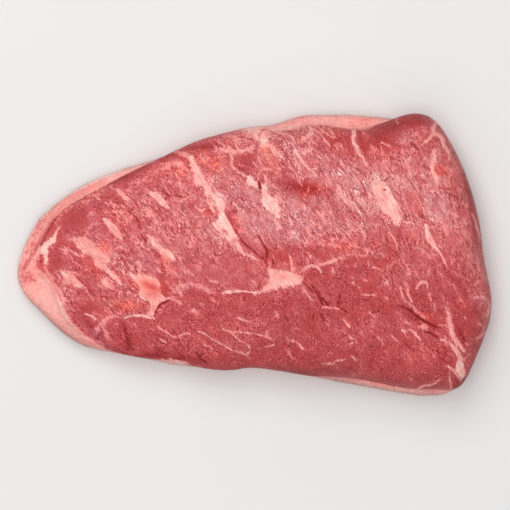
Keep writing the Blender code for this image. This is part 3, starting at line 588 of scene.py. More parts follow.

# The fat cap: pale pads and streaks, red smears, creamy spots and spots of painted shade
FAT_TONE = 0.885
OUTLINE_STEPS = 48  # directions in which the cut's outline is taken from its solids
FAT_PATCHES = drawn(
    Patch,
    # the smooth pad below the pointed tip
    (0.92, 2, (-131, -13), (-127, -20), (-122, -28), (-119, -38), (-108, -49), (-104, -56), (-118, -50),
     (-132, -38), (-144, -26), (-147, -20), (-140, -18)),
)
FAT_MARKS = drawn(
    Mark,
    (0.96, 1, (-138.4, -2, 1.4), (-140.6, -6, 2.2), (-143, -9.6, 1.8)),
    (0.98, 1.2, (-123.6, -27, 2), (-121.4, -32, 4), (-119.4, -37, 3.6), (-116, -41.6, 2)),
    (0.94, 1, (-56, -66.3, 1.6), (-50, -66.8, 3), (-45, -67.2, 2.2)),
    # the pale outer edge of the tip, fine lines along its rim and the soft band inside it
    (0.98, 1.2, (-148, -4, 1.2), (-146, 6, 1.8), (-141, 16, 1.8), (-134, 25, 1.8), (-124, 33.5, 2),
     (-112, 41, 2), (-98, 48, 1.8), (-84, 54, 1.4)),
    (0.79, 0.9, (-128, 29, 0.8), (-118, 36, 1), (-108, 41, 1), (-98, 46, 0.8)),
    (0.79, 0.9, (-137, -31, 0.8), (-128, -39.5, 1), (-119, -47, 1), (-110, -52.5, 1), (-102, -56, 0.8)),
    (0.8, 0.9, (-131, -38.5, 0.6), (-122, -46.5, 0.9), (-112, -53.8, 0.9), (-104, -57.6, 0.6)),
    (0.84, 1.4, (-95, 45, 2.4), (-105, 41, 3), (-115, 33.5, 3.4), (-122, 28, 3), (-127, 24, 2.4)),
)
SMEAR_SOFT = 0.8
SMEARS = (
    # the red strip inside the far band of the tip, the blush under it and specks along it
    ((-125, 22, 4.2), (-128, 17, 5), (-131, 12.6, 4.5), (-134, 8.5, 3.4), (-137, 5, 2.4),
     (-140, 0.5, 1.7), (-142.5, -4.5, 1.5), (-145.2, -8.8, 1.7)),
    ((-133.6, -3, 3), (-134.5, -6, 5), (-131.6, -9.4, 3.4)),
    ((-147, -13, 0.8), (-144, -14, 1.8), (-141, -15, 1.6), (-138, -16.4, 0.6)),
    ((-142.6, -10.6, 0.8), (-140.4, -13, 1.4)), ((-146, -16.4, 0.6), (-143.6, -16.8, 1)),
    ((-136.5, 17, 1.2), (-135, 21, 1)), ((-138.5, 12, 0.9), (-137, 14.5, 0.9)),
    ((-132.6, 21, 0.9), (-131.4, 22.8, 1)), ((-140.5, 5, 0.8), (-139.6, 7.4, 0.9)),
    ((-134.6, 15.6, 1), (-133.8, 17.4, 1)), ((-143.6, 1.5, 0.8), (-142.6, 3.6, 0.8)),
    # the red flesh at the corner of the thick end
    ((128, -85, 2), (131, -82.4, 4), (134, -77.6, 3.4), (136.6, -72.6, 1.4)),
)
CREAM_BLOTS = spots(
    (-118, 40, 22, 3, 0.5, 36), (-98, 49, 16, 2.4, 0.5, 27), (-147, 2, 2.4, 14, 0.6, -20),
    (-142, -31, 2.4, 16, 0.7, 42), (-120, -52, 16, 2.4, 0.7, -35), (-133, 4, 5, 3, 0.7, 40),
    (-121, -34, 2.5, 6, 0.5, 25), (48, 86, 12, 4, 0.5), (100, -86.5, 30, 2.4, 0.7, -3),
    (66, -81, 12, 2, 0.7, -12), (-44, -69, 9, 2, 0.8, -6), (-70, 58, 24, 1.6, 0.7, 24),
    (-130, -24, 6, 8, 0.25, 20), (3, 82, 9, 2, 0.7), (-60, -66, 30, 1.4, 0.8, -12),
)
FAT_PAINTED_SHADE_BLOTS = spots(
    (-128, -43, 20, 5, 0.24, -40), (-108, -56, 16, 3, 0.14, -30), (-131, 27, 14, 4, 0.16, 48),
    (100, -87, 30, 3, 0.1, -3), (54, -79, 18, 2.4, 0.2, -12), (-116, -46, 8, 4, 0.08, -40),
    (-141, -8, 3, 4, 0.06), (-110, 43, 16, 3, 0.1, 30),
)
FAT_WARM_BLOTS = spots(
    (-136, -6, 8, 6, 1), (-122, 29, 10, 3, 0.8, 45), (70, 84, 16, 4, 0.5), (-104, 42, 14, 2, 0.8, 32),
    (-138, -21, 5, 5, 0.7), (-142, -13, 5, 3, 0.8, -30), (78, -81.4, 8, 1.4, 0.9, -14),
)


def length(name, description, millimetres):
    return FloatProperty(name=name, description=description, default=millimetres * MM, unit="LENGTH")


class LeanSettings(bpy.types.PropertyGroup):
    cell: length("Mesh cell", "Grid size of the surface", 0.82)
    ridge_height: length("Fibre height", "Height of the fibre bundles", 0.35)
    ridge_width: length("Fibre width", "Width of a fibre bundle", 1.9)
    ridge_length: length("Fibre length", "Length over which a bundle changes", 9)
    fat_swell: length("Fat swell", "How far the marbling stands proud", 0.45)
    crack_depth: length("Crack depth", "Depth of the open cracks", 1.1)
    swell: length("Swell", "How far the flesh fills its gap to the fat", 0.35)


class FatSettings(bpy.types.PropertyGroup):
    cell: length("Mesh cell", "Grid size of the surface", 1.05)
    lump_height: length("Lump height", "Height of the soft lumps", 0.5)
    lump_width: length("Lump width", "Width of a lump", 6)
    fillet: length("Fillet", "How far the fat climbs against the lean", 2.6)
    tip_fillet: length("Tip fillet", "How much further it climbs at the tip and the far rim", 2.4)


class StudioSettings(bpy.types.PropertyGroup):
    floor_colour: FloatVectorProperty(
        name="Floor colour", description="Plain floor", default=(0.80, 0.79, 0.78), subtype="COLOR", size=3)
    camera_height: FloatProperty(
        name="Camera height", description="Above the floor", default=2.2, unit="LENGTH")
    view_width: FloatProperty(
        name="View width", description="Width of the view at the cut", default=0.3221, unit="LENGTH")


# ---------------------------------------------------------------------------------------------------
# Plan geometry with numpy: rows of points in millimetres
# ---------------------------------------------------------------------------------------------------


def smooth_step(low, high, value):
    t = np.clip((value - low) / (high - low), 0, 1)
    return t * t * (3 - 2 * t)


def smooth_route(rows, steps=4):
    """A smooth open line through the rows, with every column carried along."""
    p = np.array(rows, float)
    p = np.vstack([2 * p[0] - p[1], p, 2 * p[-1] - p[-2]])
    p0, p1, p2, p3 = (p[i : len(p) - 3 + i, None, :] for i in range(4))
    t = np.linspace(0, 1, steps, endpoint=False)[None, :, None]
    line = p1 + 0.5 * t * (p2 - p0 + t * (2 * p0 - 5 * p1 + 4 * p2 - p3 + t * (3 * (p1 - p2) + p3 - p0)))
    return np.vstack([line.reshape(-1, p.shape[1]), p[-2:-1]])


def depth_in_stroke(plan, rows):
    """How far inside a stroke of (x, y, width) rows each plan point lies; below zero is outside."""
    depth = np.full(len(plan), -np.inf)
    for (x0, y0, w0), (x1, y1, w1) in zip(rows[:-1], rows[1:]):
        dx, dy = x1 - x0, y1 - y0
        share = np.clip(((plan[:, 0] - x0) * dx + (plan[:, 1] - y0) * dy) / (dx * dx + dy * dy), 0, 1)
        away = np.hypot(plan[:, 0] - x0 - share * dx, plan[:, 1] - y0 - share * dy)
        depth = np.maximum(depth, (w0 + share * (w1 - w0)) / 2 - away)
    return depth


def inside(plan, corners):
    """Whether each plan point lies inside the closed outline."""
    odd = np.zeros(len(plan), bool)
    x, y = plan.T
    for (x0, y0), (x1, y1) in zip(corners, corners[1:] + corners[:1]):
        if y0 != y1:
            odd ^= ((y0 > y) != (y1 > y)) & (x < x0 + (y - y0) * (x1 - x0) / (y1 - y0))
    return odd


def depth_in_patch(plan, corners):
    """How far inside a closed outline each plan point lies; below zero is outside."""
    rows = [(*c, 0) for c in corners + corners[:1]]
    edge = -depth_in_stroke(plan, rows)
    return np.where(inside(plan, corners), edge, -edge)


class Paint:
    """Values for each point of a mesh, built up by strokes and spots and then kept as mesh attributes."""

    NAMES = ("tone", "mark", "mark_tone", "crack", "sheen", "warm", "cream", "calm", "dim", "rim", "steep")
    REACH = 6.0  # a mark is worked out this far around itself
    FAR = -9.0  # the level of a point that no mark comes near

    def __init__(self, plan, tone):
        self.plan = plan
        self.values = {name: np.zeros(len(plan)) for name in self.NAMES}
        self.values["tone"] += tone
        self.values["mark"] += self.FAR
        self.values["crack"] += self.FAR

    def near(self, rows):
        """The points round a route or an outline."""
        at = np.array(rows, float)[:, :2]
        low, high = at.min(0) - self.REACH, at.max(0) + self.REACH
        return np.where(((self.plan > low) & (self.plan < high)).all(1))[0]

    def lay(self, near, depth, soft, tone):
        """A pale mark goes over the ones before it where it is the deeper."""
        level = depth / soft
        wins = level > self.values["mark"][near]
        self.values["mark"][near[wins]] = level[wins]
        self.values["mark_tone"][near[wins]] = tone

    def pale_stroke(self, mark):
        near = self.near(mark.route)
        self.lay(near, depth_in_stroke(self.plan[near], smooth_route(mark.route)), mark.soft, mark.tone)

    def pale_patch(self, patch):
        near = self.near(patch.corners)
        self.lay(near, depth_in_patch(self.plan[near], patch.corners), patch.soft, patch.tone)

    def dark_stroke(self, rows, soft, most=9.0):
        """An open crack; a crease is one whose level stays under a limit."""
        near = self.near(rows)
        level = np.minimum(depth_in_stroke(self.plan[near], smooth_route(rows)) / soft, most)
        self.values["crack"][near] = np.maximum(self.values["crack"][near], level)

    def blots(self, name, blots):
        for blot in blots:
            turn = math.radians(blot.turn)
            x, y = self.plan[:, 0] - blot.x, self.plan[:, 1] - blot.y
            u = (x * math.cos(turn) + y * math.sin(turn)) / blot.long
            v = (y * math.cos(turn) - x * math.sin(turn)) / blot.wide
            self.values[name] += blot.amount * np.exp(-(u * u + v * v))

    def shade(self, shade):
        near = self.near(shade.route)
        away = -depth_in_stroke(self.plan[near], smooth_route([(x, y, 0) for x, y in shade.route]))
        self.values["tone"][near] += shade.amount * np.exp(-((away / shade.width) ** 2))

    def flecks(self, spot, draw):
        """Short pale strokes that lie roughly along the fibres, more of them near the middle of the spot."""
        turn = math.radians(spot.turn)
        for _ in range(spot.count):
            u, v = draw.normal(0, 0.5, 2) * (spot.long, spot.wide)
            x = spot.x + u * math.cos(turn) - v * math.sin(turn)
            y = spot.y + u * math.sin(turn) + v * math.cos(turn)
            lie = math.atan(-FIBRE_SLOPE - 2 * FIBRE_BEND * x) + draw.normal(0, 0.3)
            half = spot.length * draw.uniform(0.25, 0.75)
            width = spot.width * draw.uniform(0.6, 1.3)
            dx, dy = half * math.cos(lie), half * math.sin(lie)
            route = ((x - dx, y - dy, width / 2), (x, y, width), (x + dx, y + dy, width / 2))
            self.pale_stroke(Mark(spot.tone + draw.uniform(-0.08, 0.06), 0.7, route))

    def find_sides(self, normals):
        """The steep sides get painted shade, and their marks have calmer edges."""
        up = normals[:, 2]
        self.values["steep"] += smooth_step(STEEP_FROM, STEEP_TO, up) * smooth_step(UNDER_TO, UNDER_FROM, up)
        self.values["dim"] += SIDE_PAINTED_SHADE * self.values["steep"]

    def store(self, mesh):
        for name, values in self.values.items():
            layer = mesh.attributes.new(name, "FLOAT", "POINT")
            layer.data.foreach_set("value", values.astype(np.float32))


# ---------------------------------------------------------------------------------------------------
# Node trees: one maker for shader and geometry nodes alike
# ---------------------------------------------------------------------------------------------------


class Field:
    """A node's output that takes part in arithmetic; each operation adds a Math node."""

    def __init__(self, maker, socket):
        self.maker = maker
        self.socket = socket

    def math(self, operation, *values):
        return self.maker.add("ShaderNodeMath", {"operation": operation}, dict(enumerate(values)))

    def __add__(self, other):
        return self.math("ADD", self, other)

    def __sub__(self, other):
        return self.math("SUBTRACT", self, other)

    def __rsub__(self, other):
        return self.math("SUBTRACT", other, self)

    def __mul__(self, other):
        return self.math("MULTIPLY", self, other)

    def __truediv__(self, other):
        return self.math("DIVIDE", self, other)

    __radd__ = __add__
    __rmul__ = __mul__


class Maker:
    """Adds nodes of any type to a tree."""

    def __init__(self, tree):
        self.tree = tree

    def add(self, kind, settings=None, sockets=None, output=0):
        """A node with its settings made first, then its sockets given values or links; returns one output."""
        node = self.tree.nodes.new(kind)
        for name, value in (settings or {}).items():
            if name == "stops":
                self.set_stops(node.color_ramp, value)
            else:
                setattr(node, name, value)
        for name, value in (sockets or {}).items():
            if isinstance(value, Field):
                self.tree.links.new(value.socket, node.inputs[name])
            else:
                node.inputs[name].default_value = value
        return Field(self, node.outputs[output]) if node.outputs else node

    def set_stops(self, ramp, stops):
        while len(ramp.elements) < len(stops):
            ramp.elements.new(0.5)
        for element, (place, colour) in zip(ramp.elements, stops):
            element.position = place
            element.color = colour

    def vector(self, operation, *values, output=0):
        return self.add("ShaderNodeVectorMath", {"operation": operation}, dict(enumerate(values)), output)

    def joined(self, x, y, z):
        return self.add("ShaderNodeCombineXYZ", None, {"X": x, "Y": y, "Z": z})

    def part(self, vector, axis):
        return self.add("ShaderNodeSeparateXYZ", None, {"Vector": vector}, axis)

    def noise(self, vector, detail=2.0, roughness=0.5, seed=0.0):
        """Smooth noise about 0, whose spots are 1 across."""
        moved = self.vector("ADD", vector, (seed, seed * 1.7, seed * 2.3))
        sockets = {"Vector": moved, "Scale": 1.0, "Detail": detail, "Roughness": roughness}
        return self.add("ShaderNodeTexNoise", {"noise_dimensions": "3D"}, sockets) - 0.5

    def step(self, low, high, value):
        sockets = {"Value": value, "From Min": low, "From Max": high}
        return self.add("ShaderNodeMapRange", {"interpolation_type": "SMOOTHSTEP"}, sockets)

    def mix(self, a, b, share):
        return a + (b - a) * share

    def tint(self, colour, factor, multiplier):
        """The colour multiplied; sockets 6 and 7 and output 2 of the node are its colour ones."""
        settings = {"data_type": "RGBA", "blend_type": "MULTIPLY"}
        return self.add("ShaderNodeMix", settings, {0: factor, 6: colour, 7: (*multiplier, 1)}, 2)

    def brighter(self, vector, factor):
        """A colour or direction scaled, which keeps its hue or its way."""
        return self.add("ShaderNodeVectorMath", {"operation": "SCALE"}, {0: vector, "Scale": factor})

    def line(self, reach, noise):
        """Thin lines where the noise crosses 0."""
        return 1 - self.step(0.0, reach, noise.math("ABSOLUTE", noise))

    def crisp(self, noise, reach):
        """Noise pressed towards two levels, half above and half below 0."""
        return self.step(-reach, reach, noise) - 0.5

    def fibre_place(self, place):
        """Coordinates across and along the fibres, and up, in the units of the place given in millimetres."""
        x, y, up = (self.part(place, axis) for axis in "XYZ")
        length = math.hypot(1, FIBRE_SLOPE)
        across = (y + x * (FIBRE_SLOPE + x * FIBRE_BEND)) / length
        along = (y * FIBRE_SLOPE - x) / length
        return across, along, up


def linear(red, green, blue):
    """A colour given by its screen values of 0 to 255, as a shader wants it."""
    shares = [v / 255 for v in (red, green, blue)]
    return (*[v / 12.92 if v <= 0.04045 else ((v + 0.055) / 1.055) ** 2.4 for v in shares], 1)


# From the dark of a crack through red flesh and pink, grained flesh to pale fat
MEAT_STOPS = (
    (0.00, linear(90, 18, 22)),
    (0.15, linear(141, 36, 40)),
    (0.30, linear(173, 55, 58)),
    (0.42, linear(191, 72, 74)),
    (0.55, linear(207, 92, 95)),
    (0.68, linear(220, 115, 118)),
    (0.80, linear(237, 143, 139)),
    (0.90, linear(250, 167, 159)),
    (1.00, linear(255, 202, 192)),
)
# The dark of an open crack or crease is painted shade; smears are red flesh on the fat
CRACK_TONE, SMEAR_TONE, THREAD_TONE = 0.08, 0.56, 0.80
# The lavender tint is that of the painted sheen, a painted reflection, and of the membranes
LAVENDER = (1.0, 1.22, 1.28)  # tints multiply the colour
CORAL = (1.25, 1.02, 0.84)
CREAM = (0.93, 1.17, 1.16)
ROSE = (1.03, 0.92, 0.88)
MOIST_SPECULAR = 0.13
LIGHT_REACH = 1.2 * MM  # how far light wanders under the surface, red the furthest
LIGHT_SHARES = (1.0, 0.35, 0.25)


def material_maker(name):
    material = bpy.data.materials.new(name)
    material.use_nodes = True
    material.node_tree.nodes.clear()
    return material, Maker(material.node_tree)


def attribute(m, name):
    return m.add("ShaderNodeAttribute", {"attribute_name": name}, None, "Fac")


def object_place(m):
    """The surface point in millimetres."""
    place = m.add("ShaderNodeTexCoord", None, None, "Object")
    return m.vector("MULTIPLY", place, (1 / MM,) * 3)


def round_noise(m, place, size, detail=2.0, seed=0.0):
    """Noise whose spots are this many millimetres across."""
    return m.noise(m.vector("MULTIPLY", place, (1 / size,) * 3), detail, 0.6, seed)


def finish_meat(m, colour, roughness, height, bump, subsurface):
    """The moist surface: one Principled shader with the parts that vary linked to it."""
    normal = m.add("ShaderNodeBump", None, {"Strength": 1.0, "Distance": bump * MM, "Height": height})
    sockets = {
        "Base Color": colour,
        "Roughness": roughness,
        "Normal": normal,
        "Specular IOR Level": MOIST_SPECULAR,
        "Subsurface Weight": subsurface,
        "Subsurface Radius": LIGHT_SHARES,
        "Subsurface Scale": LIGHT_REACH,
    }
    shader = m.add("ShaderNodeBsdfPrincipled", {"subsurface_method": "RANDOM_WALK"}, sockets)
    m.add("ShaderNodeOutputMaterial", None, {"Surface": shader})


def lean_material():
    material, m = material_maker("moist_beef")
    place = object_place(m)
    x, y, _ = (m.part(place, axis) for axis in "XYZ")
    across, along, up = m.fibre_place(place)
    across = across + round_noise(m, place, 18, 2, 3) * 8 + round_noise(m, place, 3, 1, 8) * 0.8

    def fibres(width, length, detail, seed):
        """Noise drawn out along the fibres, in millimetres."""
        return m.noise(m.joined(across / width, along / length, up / (2 * width)), detail, 0.6, seed)

    def groups(size, low, high, seed):
        """The loose groups in which a finer pattern stands."""
        return m.step(low, high, round_noise(m, place, size, 2, seed))

    # Patterns from fine to broad
    strands = fibres(0.66, 3.0, 2, 1)
    streaks = fibres(1.5, 7.5, 2, 2)
    bundles = fibres(5.0, 26.0, 2, 5)
    crumbs = round_noise(m, place, 0.60, 1, 7)
    grit = round_noise(m, place, 1.5, 2, 17)
    blotches = round_noise(m, place, 5.5, 2, 14)
    mottle = round_noise(m, place, 14, 2, 4)
    hue = round_noise(m, place, 6, 3, 81) * 1.4
    crisp_crumbs = m.crisp(crumbs, 0.10)
    ticks = m.crisp(m.noise(m.joined(x / 0.7, y / 3.0, up), 1, 0.5, 9), 0.12)

    # How strong each of them is, from place to place
    base = attribute(m, "tone")
    sheen = attribute(m, "sheen")
    grained = m.step(0.42, 0.58, base)
    busy = groups(8, -0.12, 0.12, 51)
    rough = 1 - attribute(m, "calm") * 0.6
    # Where the painted sheen lies, the grain is more speckled, as painted glints
    stippled = m.step(0.2, 1.2, sheen)
    fine = m.crisp(strands, 0.10) * m.mix(0.35, 1.05, grained) * (1 - stippled * 0.3)
    fine = fine + crisp_crumbs * (m.mix(1.1, 0.75, grained) + stippled * 0.25)
    fine = (fine + ticks * (0.25 - grained * 0.25)) * m.mix(0.5, 1.3, busy) * rough
    middle = streaks * m.mix(0.16, 0.60, grained) + grit * m.mix(0.26, 0.40, grained)
    middle = middle * m.mix(0.6, 1.2, busy) * rough
    tone = base + mottle * 0.20 + blotches * 0.20 + bundles * 0.25 * grained + middle * 0.8 + fine * 0.18

    # Pale threads, dark grooves and hairs along the fibres
    threads = m.line(0.035, fibres(3.2, 16.0, 1, 21)) * groups(6, -0.04, 0.14, 61)
    threads = threads * m.mix(0.25, 0.9, grained) * rough
    grooves = m.line(0.03, fibres(3.6, 14.0, 1, 31)) * groups(7, -0.02, 0.14, 71) * m.mix(0.5, 1.0, grained)
    hairs = m.line(0.08, fibres(1.7, 6.0, 1, 27)) * m.mix(0.4, 1.0, stippled) * groups(5, -0.02, 0.12, 91)
    hairs = hairs * rough
    tone = m.mix(tone, THREAD_TONE, threads * 0.6) - grooves * 0.14 - hairs * 0.07

    # Marbling with feathered edges, and cracks darkened with painted shade
    mark = attribute(m, "mark")
    edge = fibres(1.2, 7.0, 2, 41) * 3.5 + crumbs * 2.5 + streaks * 2.5
    pale = m.step(-0.7, 0.7, mark + edge * (1 - attribute(m, "steep") * 0.75))
    inner = m.step(0.06, 0.2, grit + crumbs * 0.5) * 0.10
    fat_tone = attribute(m, "mark_tone") + streaks * 0.30 + crisp_crumbs * 0.06 + blotches * 0.2 - inner
    tone = m.mix(tone + m.step(-6, 0, mark) * 0.05, fat_tone, pale)
    open_crack = m.step(-0.8, 0.9, attribute(m, "crack") + grit * 3 + crumbs * 2)
    tone = m.mix(tone, CRACK_TONE, open_crack * 0.8)

    colour = m.add("ShaderNodeValToRGB", {"stops": MEAT_STOPS}, {"Fac": tone}, "Color")
    # Lavender: the painted sheen, a painted reflection of the light, and the lilac of membranes
    colour = m.tint(colour, (sheen - hue * 0.8) * (1 - pale * 0.5), LAVENDER)
    colour = m.tint(colour, (attribute(m, "warm") + hue) * (1 - pale * 0.25), CORAL)
    colour = m.tint(colour, attribute(m, "cream") * pale, CREAM)
    # The brightness of the colour: the fine grain, its lines, and painted shade on the sides, edges and rims
    light = 1 + fine * 0.36 * (1 - pale * 0.55) - grooves * 0.08 - hairs * 0.06 - attribute(m, "dim")
    height = (strands + streaks * 0.6 + crumbs * 0.6) * (1 - pale * 0.6)
    finish_meat(m, m.brighter(colour, light), 0.40 + pale * 0.06 + crumbs * 0.3, height, 0.8, 0.10)
    return material


def fat_material():
    material, m = material_maker("soft_fat")
    place = object_place(m)
    x, y, up = (m.part(place, axis) for axis in "XYZ")
    crumbs = round_noise(m, place, 0.9, 1, 11)
    crisp_crumbs = m.crisp(crumbs, 0.16)
    grit = round_noise(m, place, 2.2, 2, 13)
    blotches = round_noise(m, place, 6, 2, 15)
    mottle = round_noise(m, place, 15, 2, 12)
    rim = attribute(m, "rim") + grit * 1.5

    def layers(width, length, detail, seed):
        """Noise drawn out along the rim, in millimetres."""
        return m.noise(m.joined(x / length, y / length, (rim + up * 0.5) / width), detail, 0.6, seed)

    pale = m.step(-1, 1, attribute(m, "mark") + grit * 6)
    layered = (1 - pale * 0.7) * m.step(-0.16, 0.08, round_noise(m, place, 12, 2, 19))
    folds = m.crisp(layers(0.8, 10, 2, 21), 0.16) * layered
    seams = m.line(0.06, layers(2.2, 8, 1, 25)) * layered
    tone = attribute(m, "tone") + mottle * 0.12 + blotches * 0.10 + grit * 0.12 + crisp_crumbs * 0.03
    tone = tone + folds * 0.06 - seams * 0.09
    tone = m.mix(tone, attribute(m, "mark_tone") + grit * 0.10, pale)
    blush = m.step(0.12, 0.24, round_noise(m, place, 3.2, 2, 16) + mottle * 0.5)
    smear = m.step(-1, 1, attribute(m, "crack") + grit * 8 + crumbs * 4)
    tone = m.mix(tone - blush * 0.10, SMEAR_TONE + grit * 0.5, smear * 0.85)

    colour = m.add("ShaderNodeValToRGB", {"stops": MEAT_STOPS}, {"Fac": tone}, "Color")
    outer = m.step(2.4, 0.6, rim) * 0.5
    colour = m.tint(colour, (attribute(m, "cream") + outer) * (1 - smear), CREAM)
    colour = m.tint(colour, attribute(m, "warm"), ROSE)
    # The brightness of the colour: the fine grain and folds, and painted shade on the sides and slopes
    light = 1 + crisp_crumbs * 0.12 + folds * 0.06 + grit * 0.12 - attribute(m, "dim")
    finish_meat(m, m.brighter(colour, light), 0.44 + crumbs * 0.2, crumbs * 0.5 + grit, 0.6, 0.18)
    return material


# ---------------------------------------------------------------------------------------------------
# Meshes
# ---------------------------------------------------------------------------------------------------


def added(name, data):
    obj = bpy.data.objects.new(name, data)
    bpy.context.scene.collection.objects.link(obj)
    return obj


def modify(obj, kind, **settings):
    modifier = obj.modifiers.new(kind.lower(), kind)
    for name, value in settings.items():
        setattr(modifier, name, value)
    return modifier


def keep_shape(obj):
    """Makes the shape that the modifiers give the object's own plain mesh, and removes them."""
    graph = bpy.context.evaluated_depsgraph_get()
    mesh = bpy.data.meshes.new_from_object(obj.evaluated_get(graph), depsgraph=graph)
    mesh.name = obj.name
    obj.modifiers.clear()
    obj.data = mesh


def vectors(items, name):
    """A vector of each item, as rows."""
    flat = np.empty(len(items) * 3, np.float32)
    items.foreach_get(name, flat)
    return flat.reshape(-1, 3).astype(float)


def points_of(mesh):
    return vectors(mesh.vertices, "co")


def normals_of(mesh):
    return vectors(mesh.vertex_normals, "vector")


def move_points(mesh, points):
    mesh.vertices.foreach_set("co", points.astype(np.float32).ravel())
    mesh.update()


def fine_copy(node, name, cell):
    """A node's solid, merged, smoothed and made again as a fine even grid."""
    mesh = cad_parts[node].data.copy()
    bm = bmesh.new()
    bm.from_mesh(mesh)
    bmesh.ops.remove_doubles(bm, verts=bm.verts, dist=WELD)
    bmesh.ops.join_triangles(
        bm, faces=bm.faces, angle_face_threshold=FLAT_ENOUGH, angle_shape_threshold=FLAT_ENOUGH)
    bm.to_mesh(mesh)
    bm.free()
    mesh.materials.clear()
    obj = added(name, mesh)
    modify(obj, "SUBSURF", levels=2, render_levels=2)
    modify(obj, "REMESH", mode="VOXEL", voxel_size=cell)
    modify(obj, "SMOOTH", factor=0.5, iterations=3)
    keep_shape(obj)
    return obj


def thin_bed(obj):
    """Makes the faces that point down coarser: they lie in the fat, where nothing shows them."""
    group = obj.vertex_groups.new(name="bed")
    down = np.where(normals_of(obj.data)[:, 2] < BED_NORMAL)[0]
    group.add(down.tolist(), 1.0, "REPLACE")
    modify(obj, "DECIMATE", vertex_group=group.name, ratio=BED_DETAIL)
    keep_shape(obj)
    obj.vertex_groups.clear()


def relief_tree(name, fibres):
    """Geometry nodes that raise noise on a surface, round, or along the fibres and lower on the marbling."""
    tree = bpy.data.node_groups.new(name, "GeometryNodeTree")
    face = tree.interface
    face.new_socket("Geometry", in_out="INPUT", socket_type="NodeSocketGeometry")
    for label in ("Height", "Width", "Length", "Seed"):
        face.new_socket(label, in_out="INPUT", socket_type="NodeSocketFloat")
    face.new_socket("Material", in_out="INPUT", socket_type="NodeSocketMaterial")
    face.new_socket("Geometry", in_out="OUTPUT", socket_type="NodeSocketGeometry")
    m = Maker(tree)
    entry = m.add("NodeGroupInput").socket.node
    given = {socket.name: Field(m, socket) for socket in entry.outputs if socket.name}
    place = m.add("GeometryNodeInputPosition")
    if fibres:
        millimetres = m.vector("MULTIPLY", place, (1 / MM,) * 3)
        across, along, up = (part * MM for part in m.fibre_place(millimetres))
    else:
        across, along, up = (m.part(place, axis) for axis in "XYZ")
    cell = m.joined(across / given["Width"], along / given["Length"], up / given["Width"])
    rise = m.noise(m.vector("ADD", cell, m.joined(*[given["Seed"]] * 3)), 2, 0.5) * given["Height"] * 2
    if fibres:
        mark = m.add("GeometryNodeInputNamedAttribute", {"data_type": "FLOAT"}, {"Name": "mark"})
        rise = rise * (1 - m.step(-1, 1, mark) * 0.6)
    shift = m.brighter(m.add("GeometryNodeInputNormal"), rise)
    moved = m.add("GeometryNodeSetPosition", None, {"Geometry": given["Geometry"], "Offset": shift})
    whole = m.add("GeometryNodeRealizeInstances", None, {"Geometry": moved})
    coated = m.add("GeometryNodeSetMaterial", None, {"Geometry": whole, "Material": given["Material"]})
    m.add("NodeGroupOutput", None, {"Geometry": coated})
    return tree


def raise_relief(obj, tree, values):
    """Runs a relief tree on the object with these inputs and keeps the result inside the cut's own box."""
    relief = modify(obj, "NODES", node_group=tree)
    for item in tree.interface.items_tree:
        if item.in_out == "INPUT" and item.name in values:
            relief[item.identifier] = values[item.name]
    keep_shape(obj)
    obj.data.shade_smooth()
    move_points(obj.data, np.clip(points_of(obj.data), CAD_BOX[0], CAD_BOX[1]))


def paint_lean(plan):
    """The colours of the muscle, from broad changes to fine marks."""
    fade = 1.2 + 12 * smooth_step(FADE_FROM, FADE_TO, plan[:, 0])
    lower = smooth_step(-fade, fade, depth_in_patch(plan, LOWER_MUSCLE))
    paint = Paint(plan, UPPER_TONE + (LOWER_TONE - UPPER_TONE) * lower)
    for name, blots in (
        ("tone", TONE_BLOTS), ("sheen", PAINTED_SHEEN_AND_MEMBRANE_BLOTS), ("warm", WARM_BLOTS), ("calm", CALM_BLOTS),
        ("dim", PAINTED_SHADE_BLOTS), ("cream", CREAM_BLOTS),
    ):
        paint.blots(name, blots)
    for shade in SHADES:
        paint.shade(shade)
    draw = np.random.default_rng(4)
    for spot in SCATTERS:
        paint.flecks(spot, draw)
    for route in VEINS:
        paint.pale_stroke(Mark(VEIN_TONE, LINE_SOFT, [(x, y, VEIN_WIDTH) for x, y in route]))
    for tone, flecks in FLECKS.items():
        for x0, y0, x1, y1, width in flecks:
            paint.pale_stroke(Mark(tone, FLECK_SOFT, ((x0, y0, width), (x1, y1, width))))
    for mark in MARKS:
        paint.pale_stroke(mark)
    for patch in (TONGUE, *PATCHES):
        paint.pale_patch(patch)
    paint.blots("mark_tone", BLUSH_BLOTS)
    for route in CREASES:
        paint.dark_stroke([(x, y, CREASE_WIDTH) for x, y in route], LINE_SOFT, CREASE_LEVEL)
    for route in CRACKS:
        paint.dark_stroke(route, LINE_SOFT)
    return paint


def plan_outline():
    """The furthest point of the solids in each direction, seen from above in millimetres."""
    plan = np.vstack([points_of(node.data)[:, :2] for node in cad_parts.values()]) / MM
    turn = np.arctan2(plan[:, 1], plan[:, 0]) / math.tau % 1
    sector = (turn * OUTLINE_STEPS).astype(int)
    away = np.hypot(plan[:, 0], plan[:, 1])
    corners = [plan[np.where(sector == i, away, 0).argmax()] for i in range(OUTLINE_STEPS)]
    return corners + corners[:1]


def paint_fat(plan):
    """The colours of the fat: an even pink with pads, creamy edges, smears of red and painted shade."""
    paint = Paint(plan, FAT_TONE)
    paint.values["rim"] -= depth_in_stroke(plan, smooth_route([(x, y, 0) for x, y in plan_outline()]))
    paint.blots("cream", CREAM_BLOTS)
    paint.blots("warm", FAT_WARM_BLOTS)
    paint.blots("dim", FAT_PAINTED_SHADE_BLOTS)
    for patch in (TONGUE, *FAT_PATCHES):
        paint.pale_patch(patch)
    for mark in FAT_MARKS:
        paint.pale_stroke(mark)
    for rows in SMEARS:
        paint.dark_stroke(rows, SMEAR_SOFT)
    return paint


def shell_of(node):
    """A node's surface for measuring against."""
    bm = bmesh.new()
    bm.from_mesh(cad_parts[node].data)
    shell = BVHTree.FromBMesh(bm)
    bm.free()
    return shell


